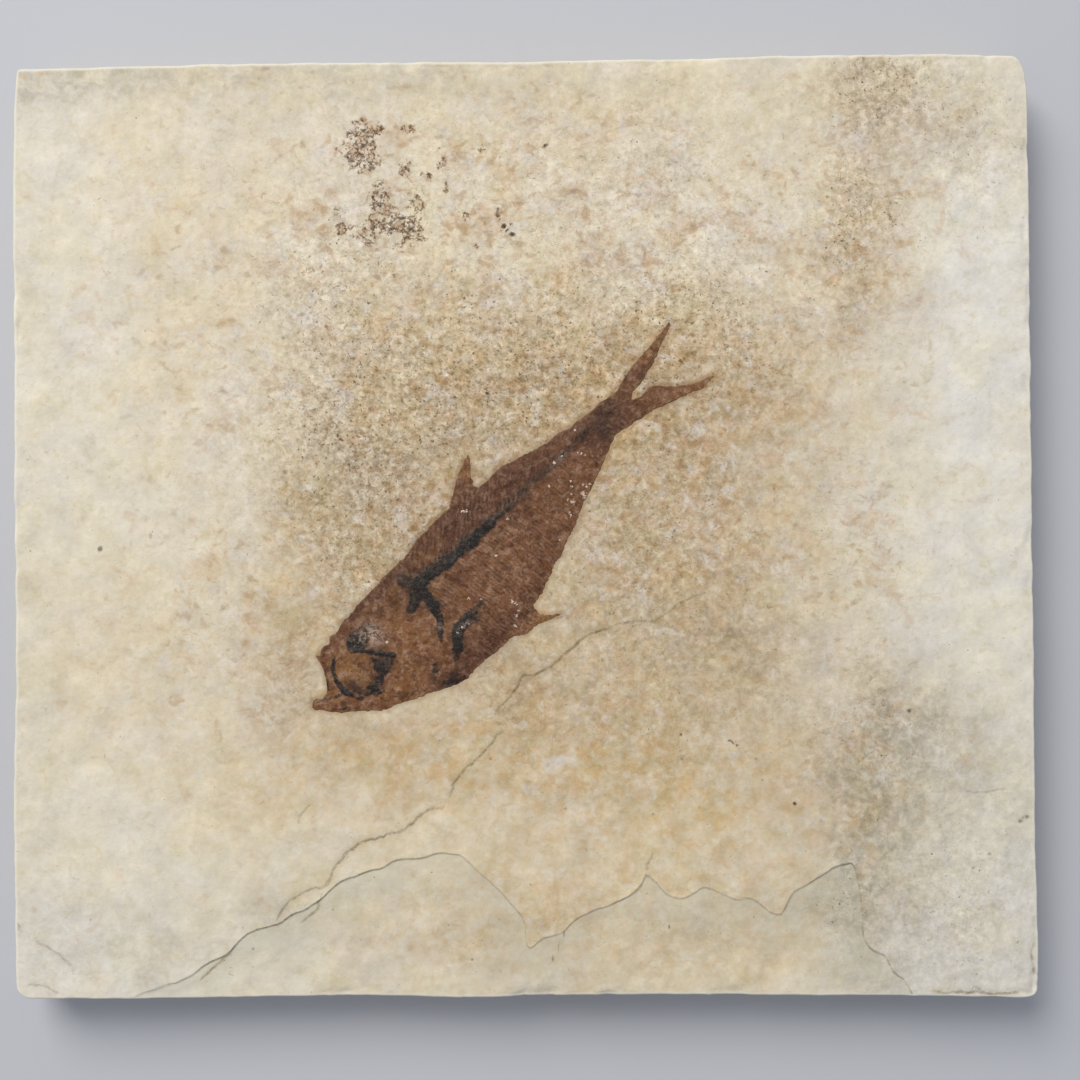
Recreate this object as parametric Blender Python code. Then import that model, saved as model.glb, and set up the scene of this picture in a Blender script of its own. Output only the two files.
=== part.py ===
"""Fossil fish slab: a sawn plate of laminated lake limestone with a small herring-like fish in low relief on
its bedding face.

Two solids, in metres, +Z up, with the origin under the middle of the plate:
  limestone_slab  the plate, with worn corners, the scalloped ledge where the top lamina has flaked off, and
                  the shallow bed that the fish lies in
  fossil_fish     the whole fish: body, fins, backbone, ribs, eye ring and shoulder bones, grown as one piece

The fish is drawn in its own flat frame: s runs from the tip of the lower jaw towards the tail, t from the
belly towards the back, both in millimetres. place() turns that frame onto the slab.
"""

import math

import bmesh
import bpy
import numpy as np

MM = 0.001

# The slab.
SLAB_WIDTH = 156.4
SLAB_HEIGHT = 144.0
SLAB_THICKNESS = 10.0
LEDGE_DEPTH = 0.5
WORN_EDGE = 0.4
# How far a cutter runs out of the stone.
OVERRUN = 1.0
HALF_W = SLAB_WIDTH / 2
HALF_H = SLAB_HEIGHT / 2
# Corner points, counter-clockwise from the front left, each with the radius that wear has given it.
SLAB_CORNERS = [
    (-HALF_W + 0.6, -HALF_H, 2.2),
    (HALF_W, -HALF_H, 0.9),
    (HALF_W - 1.6, HALF_H + 0.05, 3.6),
    (-HALF_W + 0.7, HALF_H - 2.2, 0.6),
    (-HALF_W, 44.0, 30.0),
]
# The broken edge of the top lamina, from the front edge on the left round to the front edge on the right.
LEDGE_LINE = [
    (-63.0, -HALF_H - OVERRUN), (-60.0, -71.0), (-55.0, -70.1), (-50.5, -68.0), (-46.0, -65.3), (-43.0, -62.6),
    (-38.0, -60.2), (-33.0, -57.8), (-30.0, -55.6), (-27.0, -53.5), (-21.5, -51.5), (-17.5, -50.4),
    (-12.0, -49.7), (-9.5, -50.3), (-7.0, -52.8), (-3.0, -56.5), (-0.4, -60.2), (0.2, -64.6), (2.5, -62.7),
    (5.5, -61.6), (8.0, -59.4), (12.0, -57.8), (16.0, -55.7), (18.2, -53.0), (21.5, -55.7), (25.0, -56.2),
    (28.0, -54.9), (34.0, -56.7), (38.0, -59.0), (40.5, -55.9), (44.0, -53.7), (49.3, -51.2), (51.2, -55.0),
    (51.6, -57.5), (50.9, -61.8), (54.8, -65.3), (57.0, -69.0), (59.4, -HALF_H - OVERRUN),
]

SHARPEST_MITRE = 0.5

# Where the fish lies, and how deep and how proud.
JAW_TIP = (-32.4, -28.1)
FISH_TILT = math.radians(43.5)
BED_GAP = 0.3
BED_DEPTH = 0.8
EDGE_RISE = 0.15
DOME_RISE = 0.35
BACKBONE_RISE = 0.25
BEAD_RISE = 0.1
RIB_RISE = 0.1
FIN_RISE = 0.1
RAY_RISE = 0.12
BONE_RISE = 0.25
BONE_SHOULDER = 0.08
BONE_ROOT = 0.15
BONE_TIP = 0.45
BONE_STATIONS_PER_POINT = 3
# A small share of a line, for its direction.
NEARBY = 0.02

# The fish's lines, as (s, t) points that smooth() runs a curve through.
BACK_LINE = [
    (0.0, 0.5), (0.6, 1.2), (1.4, 1.3), (2.5, 0.8), (3.6, 1.0), (4.4, 2.1), (5.2, 3.3), (5.7, 4.6),
    (6.2, 5.7), (7.5, 6.0), (9.5, 6.4), (12.6, 6.9), (16.0, 7.2), (20.0, 7.3), (24.0, 7.6), (28.0, 8.0),
    (32.0, 8.35), (36.0, 8.3), (40.0, 7.9), (43.0, 7.5), (46.0, 7.4), (49.0, 6.7), (52.0, 5.8), (56.0, 5.1),
    (60.0, 4.4), (63.0, 4.15), (66.0, 3.8),
]
BELLY_LINE = [
    (0.0, 0.0), (1.0, -1.0), (2.0, -2.3), (3.5, -3.8), (5.0, -5.0), (7.0, -6.9), (8.5, -7.75), (10.0, -8.2),
    (12.0, -9.3), (14.0, -10.1), (16.0, -11.0), (18.0, -12.0), (20.0, -12.65), (22.5, -12.45), (25.0, -12.55),
    (27.5, -12.8), (30.0, -12.55), (33.0, -11.9), (36.0, -11.35), (39.0, -10.6), (42.0, -9.3), (45.0, -8.3),
    (48.0, -7.2), (51.0, -5.8), (54.0, -4.8), (57.0, -3.6), (60.0, -2.35), (62.5, -1.5), (66.0, -2.0),
]
BACKBONE_LINE = [
    (0.0, 0.25), (2.5, -1.0), (5.0, -0.8), (8.0, 0.0), (16.0, 1.6), (23.0, 3.0), (28.0, 3.0), (33.0, 2.6),
    (38.0, 2.15), (44.0, 2.0), (56.0, 1.9), (60.0, 1.7), (66.0, 1.05),
]
SKULL_END = 23.0
TAIL_ROOT = 60.0
BODY_END = 66.0
SKULL_STEP = 0.9
VERTEBRA = 0.86
# Where each half of a cross-line has its points: shares of the way from the backbone's foot to the edge.
RING_SHARES = (0.0, 1 / 3, 2 / 3, 1.0)
BACKBONE_HALF_WIDTH = 0.75
WIDEST_FOOT = 0.4
SPINE_LEAN = 0.9
RIB_LEAN = 0.3

# Fins, as (leading edge, trailing edge, number of rays). Both edges run from root to tip.
FINS = {
    "dorsal_fin": (
        [(35.6, 7.2), (37.5, 9.2), (39.5, 10.4), (41.5, 11.4), (44.2, 12.3)],
        [(42.6, 6.6), (42.0, 8.4), (42.5, 9.3), (43.2, 10.6), (44.4, 12.0)],
        7,
    ),
    "pelvic_fin": (
        [(29.4, -11.6), (31.5, -13.8), (33.2, -14.2), (35.5, -15.0), (37.7, -15.6)],
        [(35.8, -10.6), (35.4, -12.4), (35.4, -13.6), (36.3, -14.3), (37.8, -15.3)],
        5,
    ),
    "tail_upper_lobe": (
        [(63.0, 3.7), (67.0, 3.75), (69.0, 4.3), (71.0, 4.7), (75.0, 5.15), (79.9, 5.75)],
        [(63.0, 0.6), (67.0, 0.7), (69.0, 1.45), (71.0, 1.9), (75.0, 2.95), (79.9, 5.45)],
        7,
    ),
    "tail_lower_lobe": (
        [(63.0, 1.5), (67.0, 1.4), (69.0, 0.6), (71.5, 0.4), (75.0, -2.75), (79.3, -4.85)],
        [(63.0, -1.2), (67.0, -2.2), (69.0, -2.6), (71.5, -3.4), (75.0, -4.6), (79.2, -5.15)],
        7,
    ),
}
FIN_STATIONS = 10
# How much of its height a ray has lost at the fin's tip.
RAY_FADE = 0.5

# Bones that stand up from the skull and shoulder.
EYE_CENTRE = (9.3, -0.4)
EYE_RING_RADIUS = 3.3
EYE_RING_WIRE = 0.55
EYE_RING_RISE = 0.4
# Each is (its line, its width at the middle).
BONE_RIDGES = {
    "nape_bone": ([(23.0, 6.2), (23.6, 4.6), (24.6, 3.0)], 1.7),
    "shoulder_bone": ([(21.3, 0.9), (23.4, 2.3), (24.9, 1.2), (25.0, -1.4), (23.6, -3.8), (21.6, -5.7)], 1.5),
    "breast_bone": ([(20.7, -9.4), (22.3, -8.0), (23.8, -6.8), (26.6, -6.4), (30.2, -5.9)], 1.9),
    "eye_strut": ([(10.9, 2.2), (11.9, 0.6), (13.2, -1.0), (14.8, -2.5)], 1.2),
    "cheek_bone": ([(8.0, -3.2), (9.4, -4.2), (11.8, -3.4), (14.6, -2.7)], 1.3),
    "lower_jaw": ([(0.9, -0.2), (2.8, -2.2), (5.0, -4.1), (7.6, -6.2)], 1.5),
}

LIMESTONE = ("limestone", (0.69, 0.60, 0.46), 0.9)
FOSSIL_BONE = ("fossil_bone", (0.16, 0.085, 0.052), 0.6)


def clear_scene():
    for leftover in list(bpy.data.objects):
        bpy.data.objects.remove(leftover, do_unlink=True)


def material(name, colour, roughness):
    made = bpy.data.materials.new(name)
    made.use_nodes = True
    shader = made.node_tree.nodes["Principled BSDF"]
    shader.inputs["Base Color"].default_value = (*colour, 1.0)
    shader.inputs["Roughness"].default_value = roughness
    shader.inputs["Metallic"].default_value = 0.0
    return made


def add_object(name, bm, finish=None):
    """The bmesh, in millimetres, as an object in metres."""
    bmesh.ops.recalc_face_normals(bm, faces=bm.faces)
    bmesh.ops.scale(bm, vec=(MM, MM, MM), verts=bm.verts)
    mesh = bpy.data.meshes.new(name)
    bm.to_mesh(mesh)
    bm.free()
    if finish:
        mesh.materials.append(finish)
    made = bpy.data.objects.new(name, mesh)
    bpy.context.scene.collection.objects.link(made)
    return made


def hide_tool(tool):
    """A cutter or an addition that only a Boolean reads."""
    tool.hide_render = True
    tool.display_type = "WIRE"


def boolean(target, operation, tools):
    for tool in tools:
        hide_tool(tool)
        modifier = target.modifiers.new(tool.name, "BOOLEAN")
        modifier.operation = operation
        modifier.solver = "EXACT"
        modifier.object = tool


def smooth(points, at):
    """A smooth curve through the points, read at a value: cubic pieces that share their end slopes."""
    xs, ys = np.array(points, float).T
    slopes = np.gradient(ys, xs)
    at = np.clip(at, xs[0], xs[-1])
    i = np.clip(np.searchsorted(xs, at) - 1, 0, len(xs) - 2)
    width = xs[i + 1] - xs[i]
    u = (at - xs[i]) / width
    start = (1 + 2 * u) * (1 - u) ** 2 * ys[i] + u * (1 - u) ** 2 * width * slopes[i]
    end = u * u * (3 - 2 * u) * ys[i + 1] + u * u * (u - 1) * width * slopes[i + 1]
    return start + end


def along(points, share):
    """The point at a share, 0 to 1, of the way through a line of points."""
    steps = np.arange(len(points))
    return [float(smooth(list(zip(steps, axis)), share * steps[-1])) for axis in zip(*points)]


def fade(value, low, high):
    """0 below low, 1 above high, and a smooth rise between."""
    u = min(max((value - low) / (high - low), 0.0), 1.0)
    return u * u * (3 - 2 * u)


def place(s, t):
    """A point of the fish's frame on the slab."""
    x = JAW_TIP[0] + s * math.cos(FISH_TILT) - t * math.sin(FISH_TILT)
    y = JAW_TIP[1] + s * math.sin(FISH_TILT) + t * math.cos(FISH_TILT)
    return x, y


def fish_point(s, t, rise):
    return (*place(s, t), SLAB_THICKNESS + rise)


def fish_base():
    return BED_GAP - BED_DEPTH


def dome_rise(s, share):
    """How far the plain body stands over the stone, at a share of the way from the backbone to its edge."""
    dome = DOME_RISE * (1 - fade(s, TAIL_ROOT - 6, BODY_END))
    return EDGE_RISE + dome * math.sqrt(max(1 - share * share, 0.0))


def share_of_side(s, t):
    """How far a point of the body is from the backbone, where 1 is the back or the belly."""
    middle = float(smooth(BACKBONE_LINE, s))
    edge = float(smooth(BACK_LINE if t > middle else BELLY_LINE, s))
    return abs((t - middle) / (edge - middle))


def loft(name, loops, finish=None):
    """A closed solid through rings of points, with the first and last ring capped."""
    bm = bmesh.new()
    rings = [[bm.verts.new(point) for point in loop] for loop in loops]
    for near, far in zip(rings, rings[1:]):
        for k in range(len(near)):
            after = (k + 1) % len(near)
            bm.faces.new((near[k], near[after], far[after], far[k]))
    bm.faces.new(rings[0])
    bm.faces.new(rings[-1])
    return add_object(name, bm, finish)


def prism(name, outline, low, high, finish=None):
    """The outline, as (x, y) points, extruded from z = low to z = high."""
    bm = bmesh.new()
    face = bm.faces.new([bm.verts.new((x, y, low)) for x, y in outline])
    raised = bmesh.ops.extrude_face_region(bm, geom=[face])["geom"]
    top = [part for part in raised if isinstance(part, bmesh.types.BMVert)]
    bmesh.ops.translate(bm, vec=(0, 0, high - low), verts=top)
    return add_object(name, bm, finish)


def grown(outline, distance):
    """The outline moved outwards by a distance: each point goes along the mean normal of its two sides."""
    points = np.array(outline, float)
    before = points - np.roll(points, 1, axis=0)
    after = np.roll(points, -1, axis=0) - points
    area = np.sum(points[:, 0] * np.roll(points[:, 1], -1) - points[:, 1] * np.roll(points[:, 0], -1))
    side = math.copysign(1.0, area)
    normals = []
    for step in (before, after):
        normal = np.stack([step[:, 1], -step[:, 0]], axis=1) * side
        normals.append(normal / np.linalg.norm(normal, axis=1, keepdims=True))
    mean = normals[0] + normals[1]
    mean /= np.linalg.norm(mean, axis=1, keepdims=True)
    mitre = np.sum(mean * normals[0], axis=1, keepdims=True)
    return (points + mean * distance / np.maximum(mitre, SHARPEST_MITRE)).tolist()


def rounded(corners, steps=6):
    """Corner points (x, y, radius) as an outline whose corners are arcs that touch both sides."""
    outline = []
    for k, (x, y, radius) in enumerate(corners):
        corner = np.array((x, y))
        to_before = np.array(corners[k - 1][:2]) - corner
        to_after = np.array(corners[(k + 1) % len(corners)][:2]) - corner
        to_before /= np.linalg.norm(to_before)
        to_after /= np.linalg.norm(to_after)
        half = math.acos(float(np.clip(to_before @ to_after, -1, 1))) / 2
        middle = to_before + to_after
        centre = corner + middle / np.linalg.norm(middle) * radius / math.sin(half)
        start = corner + to_before * radius / math.tan(half) - centre
        sweep = math.pi - 2 * half
        for step in range(steps + 1):
            turn = sweep * step / steps
            outline.append((
                centre[0] + start[0] * math.cos(turn) - start[1] * math.sin(turn),
                centre[1] + start[0] * math.sin(turn) + start[1] * math.cos(turn),
            ))
    return outline


def body_stations():
    """Where the body's cross-lines meet the backbone: even steps in the skull, then two for each vertebra."""
    skull = np.linspace(0.0, SKULL_END, round(SKULL_END / SKULL_STEP) + 1)
    count = 2 * round((BODY_END - SKULL_END) / VERTEBRA)
    trunk = np.linspace(SKULL_END, BODY_END, count + 1)
    return np.concatenate([skull, trunk[1:]])


def body_ends(s):
    """One cross-line of the body: its (s, t) end on the back, its middle on the backbone and its end on the
    belly. In the trunk both ends lean towards the tail, as the spines and the ribs do."""
    middle = float(smooth(BACKBONE_LINE, s))
    trunk = fade(s, SKULL_END - 5, SKULL_END + 3) * (1 - fade(s, TAIL_ROOT, BODY_END))
    back_s = s + SPINE_LEAN * trunk * (float(smooth(BACK_LINE, s)) - middle)
    belly_s = s + RIB_LEAN * trunk * (middle - float(smooth(BELLY_LINE, s)))
    back = (back_s, float(smooth(BACK_LINE, back_s)))
    belly = (belly_s, float(smooth(BELLY_LINE, belly_s)))
    return back, (s, middle), belly


def body_ring(index, s):
    """One ring of the body: the cross-line over the top, from back to belly, and the flat base under it."""
    back, middle, belly = body_ends(s)
    trunk = fade(s, SKULL_END - 1, SKULL_END + 1.5) * (1 - fade(s, TAIL_ROOT, BODY_END))
    crest = index % 2
    top = []
    for end, bow in ((back, 0.0), (belly, 1.0)):
        reach = math.dist(end, middle)
        foot = min(BACKBONE_HALF_WIDTH / reach, WIDEST_FOOT)
        half = []
        for part in RING_SHARES:
            share = foot + (1 - foot) * part
            bend = math.sin(share * math.pi / 2) if bow else share
            point = (
                middle[0] + (end[0] - middle[0]) * bend,
                middle[1] + (end[1] - middle[1]) * share,
            )
            ribs = RIB_RISE * crest * trunk * (1 - share ** 4)
            half.append(fish_point(*point, dome_rise(s, share) + ribs))
        top.append(half)
    ridge = dome_rise(s, 0.0) + trunk * (BACKBONE_RISE + BEAD_RISE * crest)
    base = [(*place(*belly), SLAB_THICKNESS + fish_base()), (*place(*back), SLAB_THICKNESS + fish_base())]
    return top[0][::-1] + [fish_point(*middle, ridge)] + top[1] + base


def body_outline():
    ends = [body_ends(s) for s in body_stations()]
    return [place(*back) for back, _, _ in ends] + [place(*belly) for _, _, belly in reversed(ends)]


def fin_ring(leading, trailing, rays, share):
    """One ring of a fin: rays as ridges with a valley between each two, over a flat base."""
    edge_a, edge_b = along(leading, share), along(trailing, share)
    top = []
    for k in range(2 * rays + 1):
        across = k / (2 * rays)
        point = [a + (b - a) * across for a, b in zip(edge_a, edge_b)]
        rise = FIN_RISE + RAY_RISE * (k % 2) * (1 - RAY_FADE * share)
        top.append(fish_point(*point, rise))
    base = [(*place(*edge), SLAB_THICKNESS + fish_base()) for edge in (edge_b, edge_a)]
    return top + base


def fin_shares():
    return [k / (FIN_STATIONS - 1) for k in range(FIN_STATIONS)]


def fin_outline(leading, trailing):
    edges = [[place(*along(line, share)) for share in fin_shares()] for line in (leading, trailing)]
    return edges[0] + edges[1][::-1]


def fin_solid(name, leading, trailing, rays):
    return loft(name, [fin_ring(leading, trailing, rays, share) for share in fin_shares()])


def bone_ridge(name, line, width):
    """A bone on the body: a low ridge with a sharp crest over upright sides, tapered to both ends."""
    rings = []
    stations = BONE_STATIONS_PER_POINT * (len(line) - 1)
    for k in range(stations + 1):
        share = k / stations
        here = np.array(along(line, share))
        ahead, behind = min(share + NEARBY, 1.0), max(share - NEARBY, 0.0)
        step = np.array(along(line, ahead)) - np.array(along(line, behind))
        taper = BONE_TIP + (1 - BONE_TIP) * math.sin(math.pi * share)
        across = np.array((-step[1], step[0])) / np.linalg.norm(step) * width / 2 * taper
        shoulder = dome_rise(here[0], share_of_side(*here)) + BONE_SHOULDER
        rings.append([
            fish_point(*(here + across), shoulder - BONE_ROOT),
            fish_point(*(here + across), shoulder),
            fish_point(*here, shoulder + BONE_RISE * taper),
            fish_point(*(here - across), shoulder),
            fish_point(*(here - across), shoulder - BONE_ROOT),
        ])
    return loft(name, rings)


def eye_ring():
    """The bony ring round the eye, half sunk in the skull."""
    x, y = place(*EYE_CENTRE)
    bpy.ops.mesh.primitive_torus_add(
        major_segments=28,
        minor_segments=8,
        major_radius=EYE_RING_RADIUS * MM,
        minor_radius=EYE_RING_WIRE * MM,
        location=(x * MM, y * MM, (SLAB_THICKNESS + EYE_RING_RISE) * MM),
    )
    ring = bpy.context.object
    ring.name = "eye_ring"
    return ring


def fossil_fish():
    finish = material(*FOSSIL_BONE)
    body = loft("fossil_fish", [body_ring(k, s) for k, s in enumerate(body_stations())], finish)
    grown_on = [fin_solid(name, *lines) for name, lines in FINS.items()]
    grown_on += [bone_ridge(name, line, width) for name, (line, width) in BONE_RIDGES.items()]
    grown_on.append(eye_ring())
    boolean(body, "UNION", grown_on)
    return body


def ledge_cutter():
    """The flaked-off lamina: the ledge line, closed by a straight line just outside the front edge."""
    return prism("ledge_cutter", LEDGE_LINE, SLAB_THICKNESS - LEDGE_DEPTH, SLAB_THICKNESS + OVERRUN)


def bed_cutters():
    """The bed is the fish's own outline, wider by the gap, piece by piece."""
    outlines = {"body_bed": body_outline()}
    for name, (leading, trailing, _) in FINS.items():
        outlines[name + "_bed"] = fin_outline(leading, trailing)
    floor = SLAB_THICKNESS - BED_DEPTH
    roof = SLAB_THICKNESS + OVERRUN
    return [prism(name, grown(line, BED_GAP), floor, roof) for name, line in outlines.items()]


def limestone_slab():
    slab = prism("limestone_slab", rounded(SLAB_CORNERS), 0.0, SLAB_THICKNESS, material(*LIMESTONE))
    worn = slab.modifiers.new("worn edges", "BEVEL")
    worn.width = WORN_EDGE * MM
    worn.segments = 1
    worn.limit_method = "ANGLE"
    worn.angle_limit = math.radians(60)
    boolean(slab, "DIFFERENCE", [ledge_cutter(), *bed_cutters()])
    return slab


def main():
    clear_scene()
    limestone_slab()
    fossil_fish()


main()
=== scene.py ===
"""Surfaces, finishes and stage for the fossil fish slab.

Two pieces are made here, each in place of the plain solid that carries it:
  limestone_plate  the sawn plate, with its lumpy bedding face, flaked ledge, chipped arrises, layered sides
  fish_film        the fish, with its domed body, ribs, spines, backbone, skull bones and fin rays

Lengths are millimetres until a mesh is written. The fish is drawn in its own flat frame: s runs from the tip
of the lower jaw towards the tail, t from the belly towards the back.
"""

import math

import bpy
import numpy as np
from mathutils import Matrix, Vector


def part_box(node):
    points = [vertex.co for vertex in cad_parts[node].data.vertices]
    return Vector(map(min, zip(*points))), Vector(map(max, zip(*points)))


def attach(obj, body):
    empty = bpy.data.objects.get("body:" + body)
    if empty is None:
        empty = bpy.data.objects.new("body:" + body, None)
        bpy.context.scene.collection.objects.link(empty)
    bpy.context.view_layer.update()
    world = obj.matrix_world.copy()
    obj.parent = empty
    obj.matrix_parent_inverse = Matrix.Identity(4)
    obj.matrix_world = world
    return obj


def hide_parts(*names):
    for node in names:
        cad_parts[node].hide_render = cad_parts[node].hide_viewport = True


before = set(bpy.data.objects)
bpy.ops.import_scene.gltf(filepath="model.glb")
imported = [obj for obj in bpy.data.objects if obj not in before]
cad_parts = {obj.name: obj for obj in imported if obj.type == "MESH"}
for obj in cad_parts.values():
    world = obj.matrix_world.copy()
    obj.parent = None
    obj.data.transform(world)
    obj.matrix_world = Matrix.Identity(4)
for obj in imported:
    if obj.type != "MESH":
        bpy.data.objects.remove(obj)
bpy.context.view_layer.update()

bl_info = {
    "name": "Fossil Fish Slab",
    "version": (1, 0, 0),
    "blender": (4, 5, 0),
    "location": "3D View > Sidebar > Fossil",
    "description": "Makes a fossil fish on its limestone plate, with the stage to show it",
    "category": "Add Mesh",
}

MM = 0.001
PLATE_LOW, PLATE_HIGH = (np.array(corner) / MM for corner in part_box("limestone_slab"))
TOP = PLATE_HIGH[2]

# ---------------------------------------------------------------- the plate's own lines, in plate millimetres

# The four sides, each as (distance along the side, distance across it).
LEFT_SIDE = [
    (-72, -77.6), (-63, -77.8), (-52, -78.0), (-40, -78.1), (-28, -77.8), (-17, -77.8), (0, -78.0),
    (16, -78.0), (30, -78.1), (47, -78.2), (58, -78.1), (66, -77.9), (70, -77.6),
]
RIGHT_SIDE = [
    (-72, 78.1), (-63, 78.1), (-55, 77.9), (-48, 77.7), (-32, 77.5), (-17, 77.4), (-5, 77.2), (6, 77.1),
    (21, 76.9), (36, 76.8), (51, 76.6), (66, 76.4), (72, 76.2),
]
FRONT_SIDE = [
    (-78, -71.9), (-63, -72.0), (-45, -71.8), (-20, -71.6), (-10, -71.8), (5, -71.5), (20, -71.4),
    (40, -71.5), (66, -71.6), (78, -71.9),
]
BACK_SIDE = [
    (-78, 69.7), (-71, 69.8), (-60, 70.1), (-48, 70.4), (-33, 70.7), (-15, 70.8), (-2, 70.8), (10, 71.1),
    (20, 71.2), (36, 71.7), (50, 71.9), (62, 72.0), (77, 71.7),
]
# Corner wear as (x side, y side, width, height): a quarter ellipse in each corner.
CORNERS = [(-1, -1, 2.3, 2.1), (1, -1, 1.6, 1.6), (1, 1, 2.3, 5.2), (-1, 1, 0.6, 0.6)]

# The broken edge of the top lamina. Below it, towards the front, the next lamina shows.
LEDGE_LINE = [
    (-62.0, -72.3), (-60.0, -71.6), (-57.2, -70.8), (-55.0, -70.0), (-52.0, -68.9), (-50.0, -67.5),
    (-47.6, -66.2), (-45.2, -64.8), (-44.0, -63.4), (-42.4, -62.0), (-40.0, -61.0), (-37.6, -60.4),
    (-36.0, -59.2), (-33.2, -58.0), (-31.2, -56.6), (-30.0, -55.4), (-28.4, -54.0), (-26.0, -53.2),
    (-24.0, -52.5), (-22.0, -52.0), (-20.0, -51.0), (-18.0, -50.5), (-15.2, -50.2), (-12.8, -49.8),
    (-10.0, -50.0), (-8.4, -51.2), (-6.8, -52.8), (-4.8, -54.6), (-3.2, -56.2), (-1.6, -58.0),
    (-0.4, -60.0), (-0.1, -61.6), (0.1, -63.6), (0.7, -64.4), (2.8, -62.6), (5.2, -62.0), (6.0, -61.4),
    (6.8, -60.4), (8.4, -59.2), (10.0, -58.6), (12.0, -57.9), (14.0, -57.0), (15.6, -56.0),
    (17.2, -55.0), (17.8, -53.8), (18.3, -52.6), (19.2, -53.6), (20.4, -54.8), (21.6, -56.0),
    (24.0, -56.5), (25.8, -55.8), (27.0, -55.0), (28.4, -55.2), (30.0, -55.9), (32.0, -56.5),
    (34.4, -56.8), (36.0, -57.6), (37.2, -58.6), (38.8, -58.9), (39.8, -57.2), (40.6, -55.8),
    (42.4, -54.8), (44.0, -53.6), (46.0, -52.4), (48.0, -51.4), (49.6, -51.3), (50.3, -52.4),
    (50.7, -54.0), (51.0, -56.0), (51.2, -59.0), (51.4, -62.0), (52.2, -63.8), (54.0, -64.9),
    (54.9, -65.4), (56.0, -67.6), (57.6, -69.2), (58.8, -71.2), (59.4, -72.3),
]
# How far the ledge drops, in shares of its full depth, by x: the two long scallops are the deepest.
LEDGE_DROP = [
    (-62, 0.3), (-52, 0.6), (-38, 1.0), (-26, 0.9), (-12, 0.65), (0, 0.5), (10, 0.55), (18, 0.6), (28, 0.4),
    (40, 0.55), (51, 0.8), (55, 0.5), (60, 0.3),
]
LEDGE_WALL = 0.28
# The grid's ledge row stays behind this line, clear of the front side.
LEDGE_ROW_LIMIT = -69.4
# How dark the painted shade and dirt under the ledge are, by x.
LEDGE_SHADE_AND_DIRT = [
    (-62, 0.25), (-52, 0.5), (-46, 0.9), (-40, 1.0), (-34, 0.8), (-28, 0.8), (-20, 0.6), (-13, 0.45),
    (-8, 0.3), (-3, 0.35), (0, 0.6), (5, 0.2), (9, 0.6), (16, 0.45), (19, 0.5), (22, 0.3), (27, 0.3),
    (33, 0.4), (38, 0.7), (41, 0.35), (48, 0.6), (50.5, 0.8), (51.5, 0.75), (54, 0.8), (60, 0.8),
]

# Fine cracks and lamina edges, each as (strength, points).
CRACKS = [
    (0.75, [(-30.4, -54.8), (-29.8, -53.4), (-29.0, -51.8), (-28.0, -50.6), (-26.4, -49.2), (-24.8, -48.0),
            (-22.8, -47.4), (-20.8, -47.0), (-18.8, -46.4), (-17.2, -45.2), (-16.0, -44.2), (-14.8, -43.2),
            (-12.8, -43.0)]),
    (0.8, [(-11.6, -41.4), (-11.4, -40.6), (-10.8, -39.2), (-9.4, -37.4), (-8.2, -36.0), (-6.8, -34.8),
           (-5.6, -33.2), (-4.4, -32.0), (-3.4, -31.6)]),
    (1.0, [(-4.5, -28.8), (-4.2, -27.8), (-3.4, -26.8), (-2.0, -25.4), (-1.2, -24.0), (-0.6, -23.0),
           (1.0, -22.8), (2.2, -22.2), (3.8, -21.6), (4.8, -20.6), (5.8, -19.4), (7.4, -18.2), (9.0, -16.8),
           (10.6, -16.0), (12.6, -15.4), (14.2, -14.8)]),
    (0.45, [(14.2, -14.8), (17.0, -14.6), (19.8, -14.4), (22.2, -12.8), (23.4, -11.8), (25.0, -11.0),
            (27.4, -10.4)]),
    (0.6, [(-38.0, -60.0), (-37.4, -58.8), (-36.0, -57.4), (-34.4, -56.2), (-32.4, -55.4), (-30.6, -55.2)]),
    (0.6, [(-34.0, -60.4), (-31.8, -58.6), (-31.4, -57.2)]),
    (0.7, [(-49.6, -69.2), (-47.6, -67.4), (-45.0, -65.3)]),
    (0.5, [(18.3, -52.6), (18.6, -51.4), (19.4, -50.0)]),
    (0.4, [(-34.8, -45.2), (-34.0, -43.8), (-32.8, -42.6)]),
    (0.6, [(-77.6, -60.4), (-77.0, -62.0)]),
    (0.45, [(-74.4, -63.2), (-72.0, -64.6), (-69.6, -66.8), (-69.0, -68.2)]),
    (0.4, [(-75.6, -69.8), (-73.2, -70.2), (-71.2, -71.4)]),
    (0.8, [(62.0, -71.1), (66.0, -70.9), (69.0, -71.0), (72.0, -71.3), (75.0, -71.1)]),
    (0.6, [(68.4, -70.0), (70.0, -71.2)]),
    (0.6, [(77.3, -63.6), (77.1, -66.0), (77.4, -68.4)]),
    (0.3, [(67.2, -40.4), (69.8, -40.6), (72.8, -40.0)]),
]
CRACK_DEPTH = 0.04
CRACK_REACH = 0.5
# How far chips wander into the four sides, and how deep the bed under the fish is.
SIDE_CHIPS = 0.07
FISH_BED = 0.3

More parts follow.
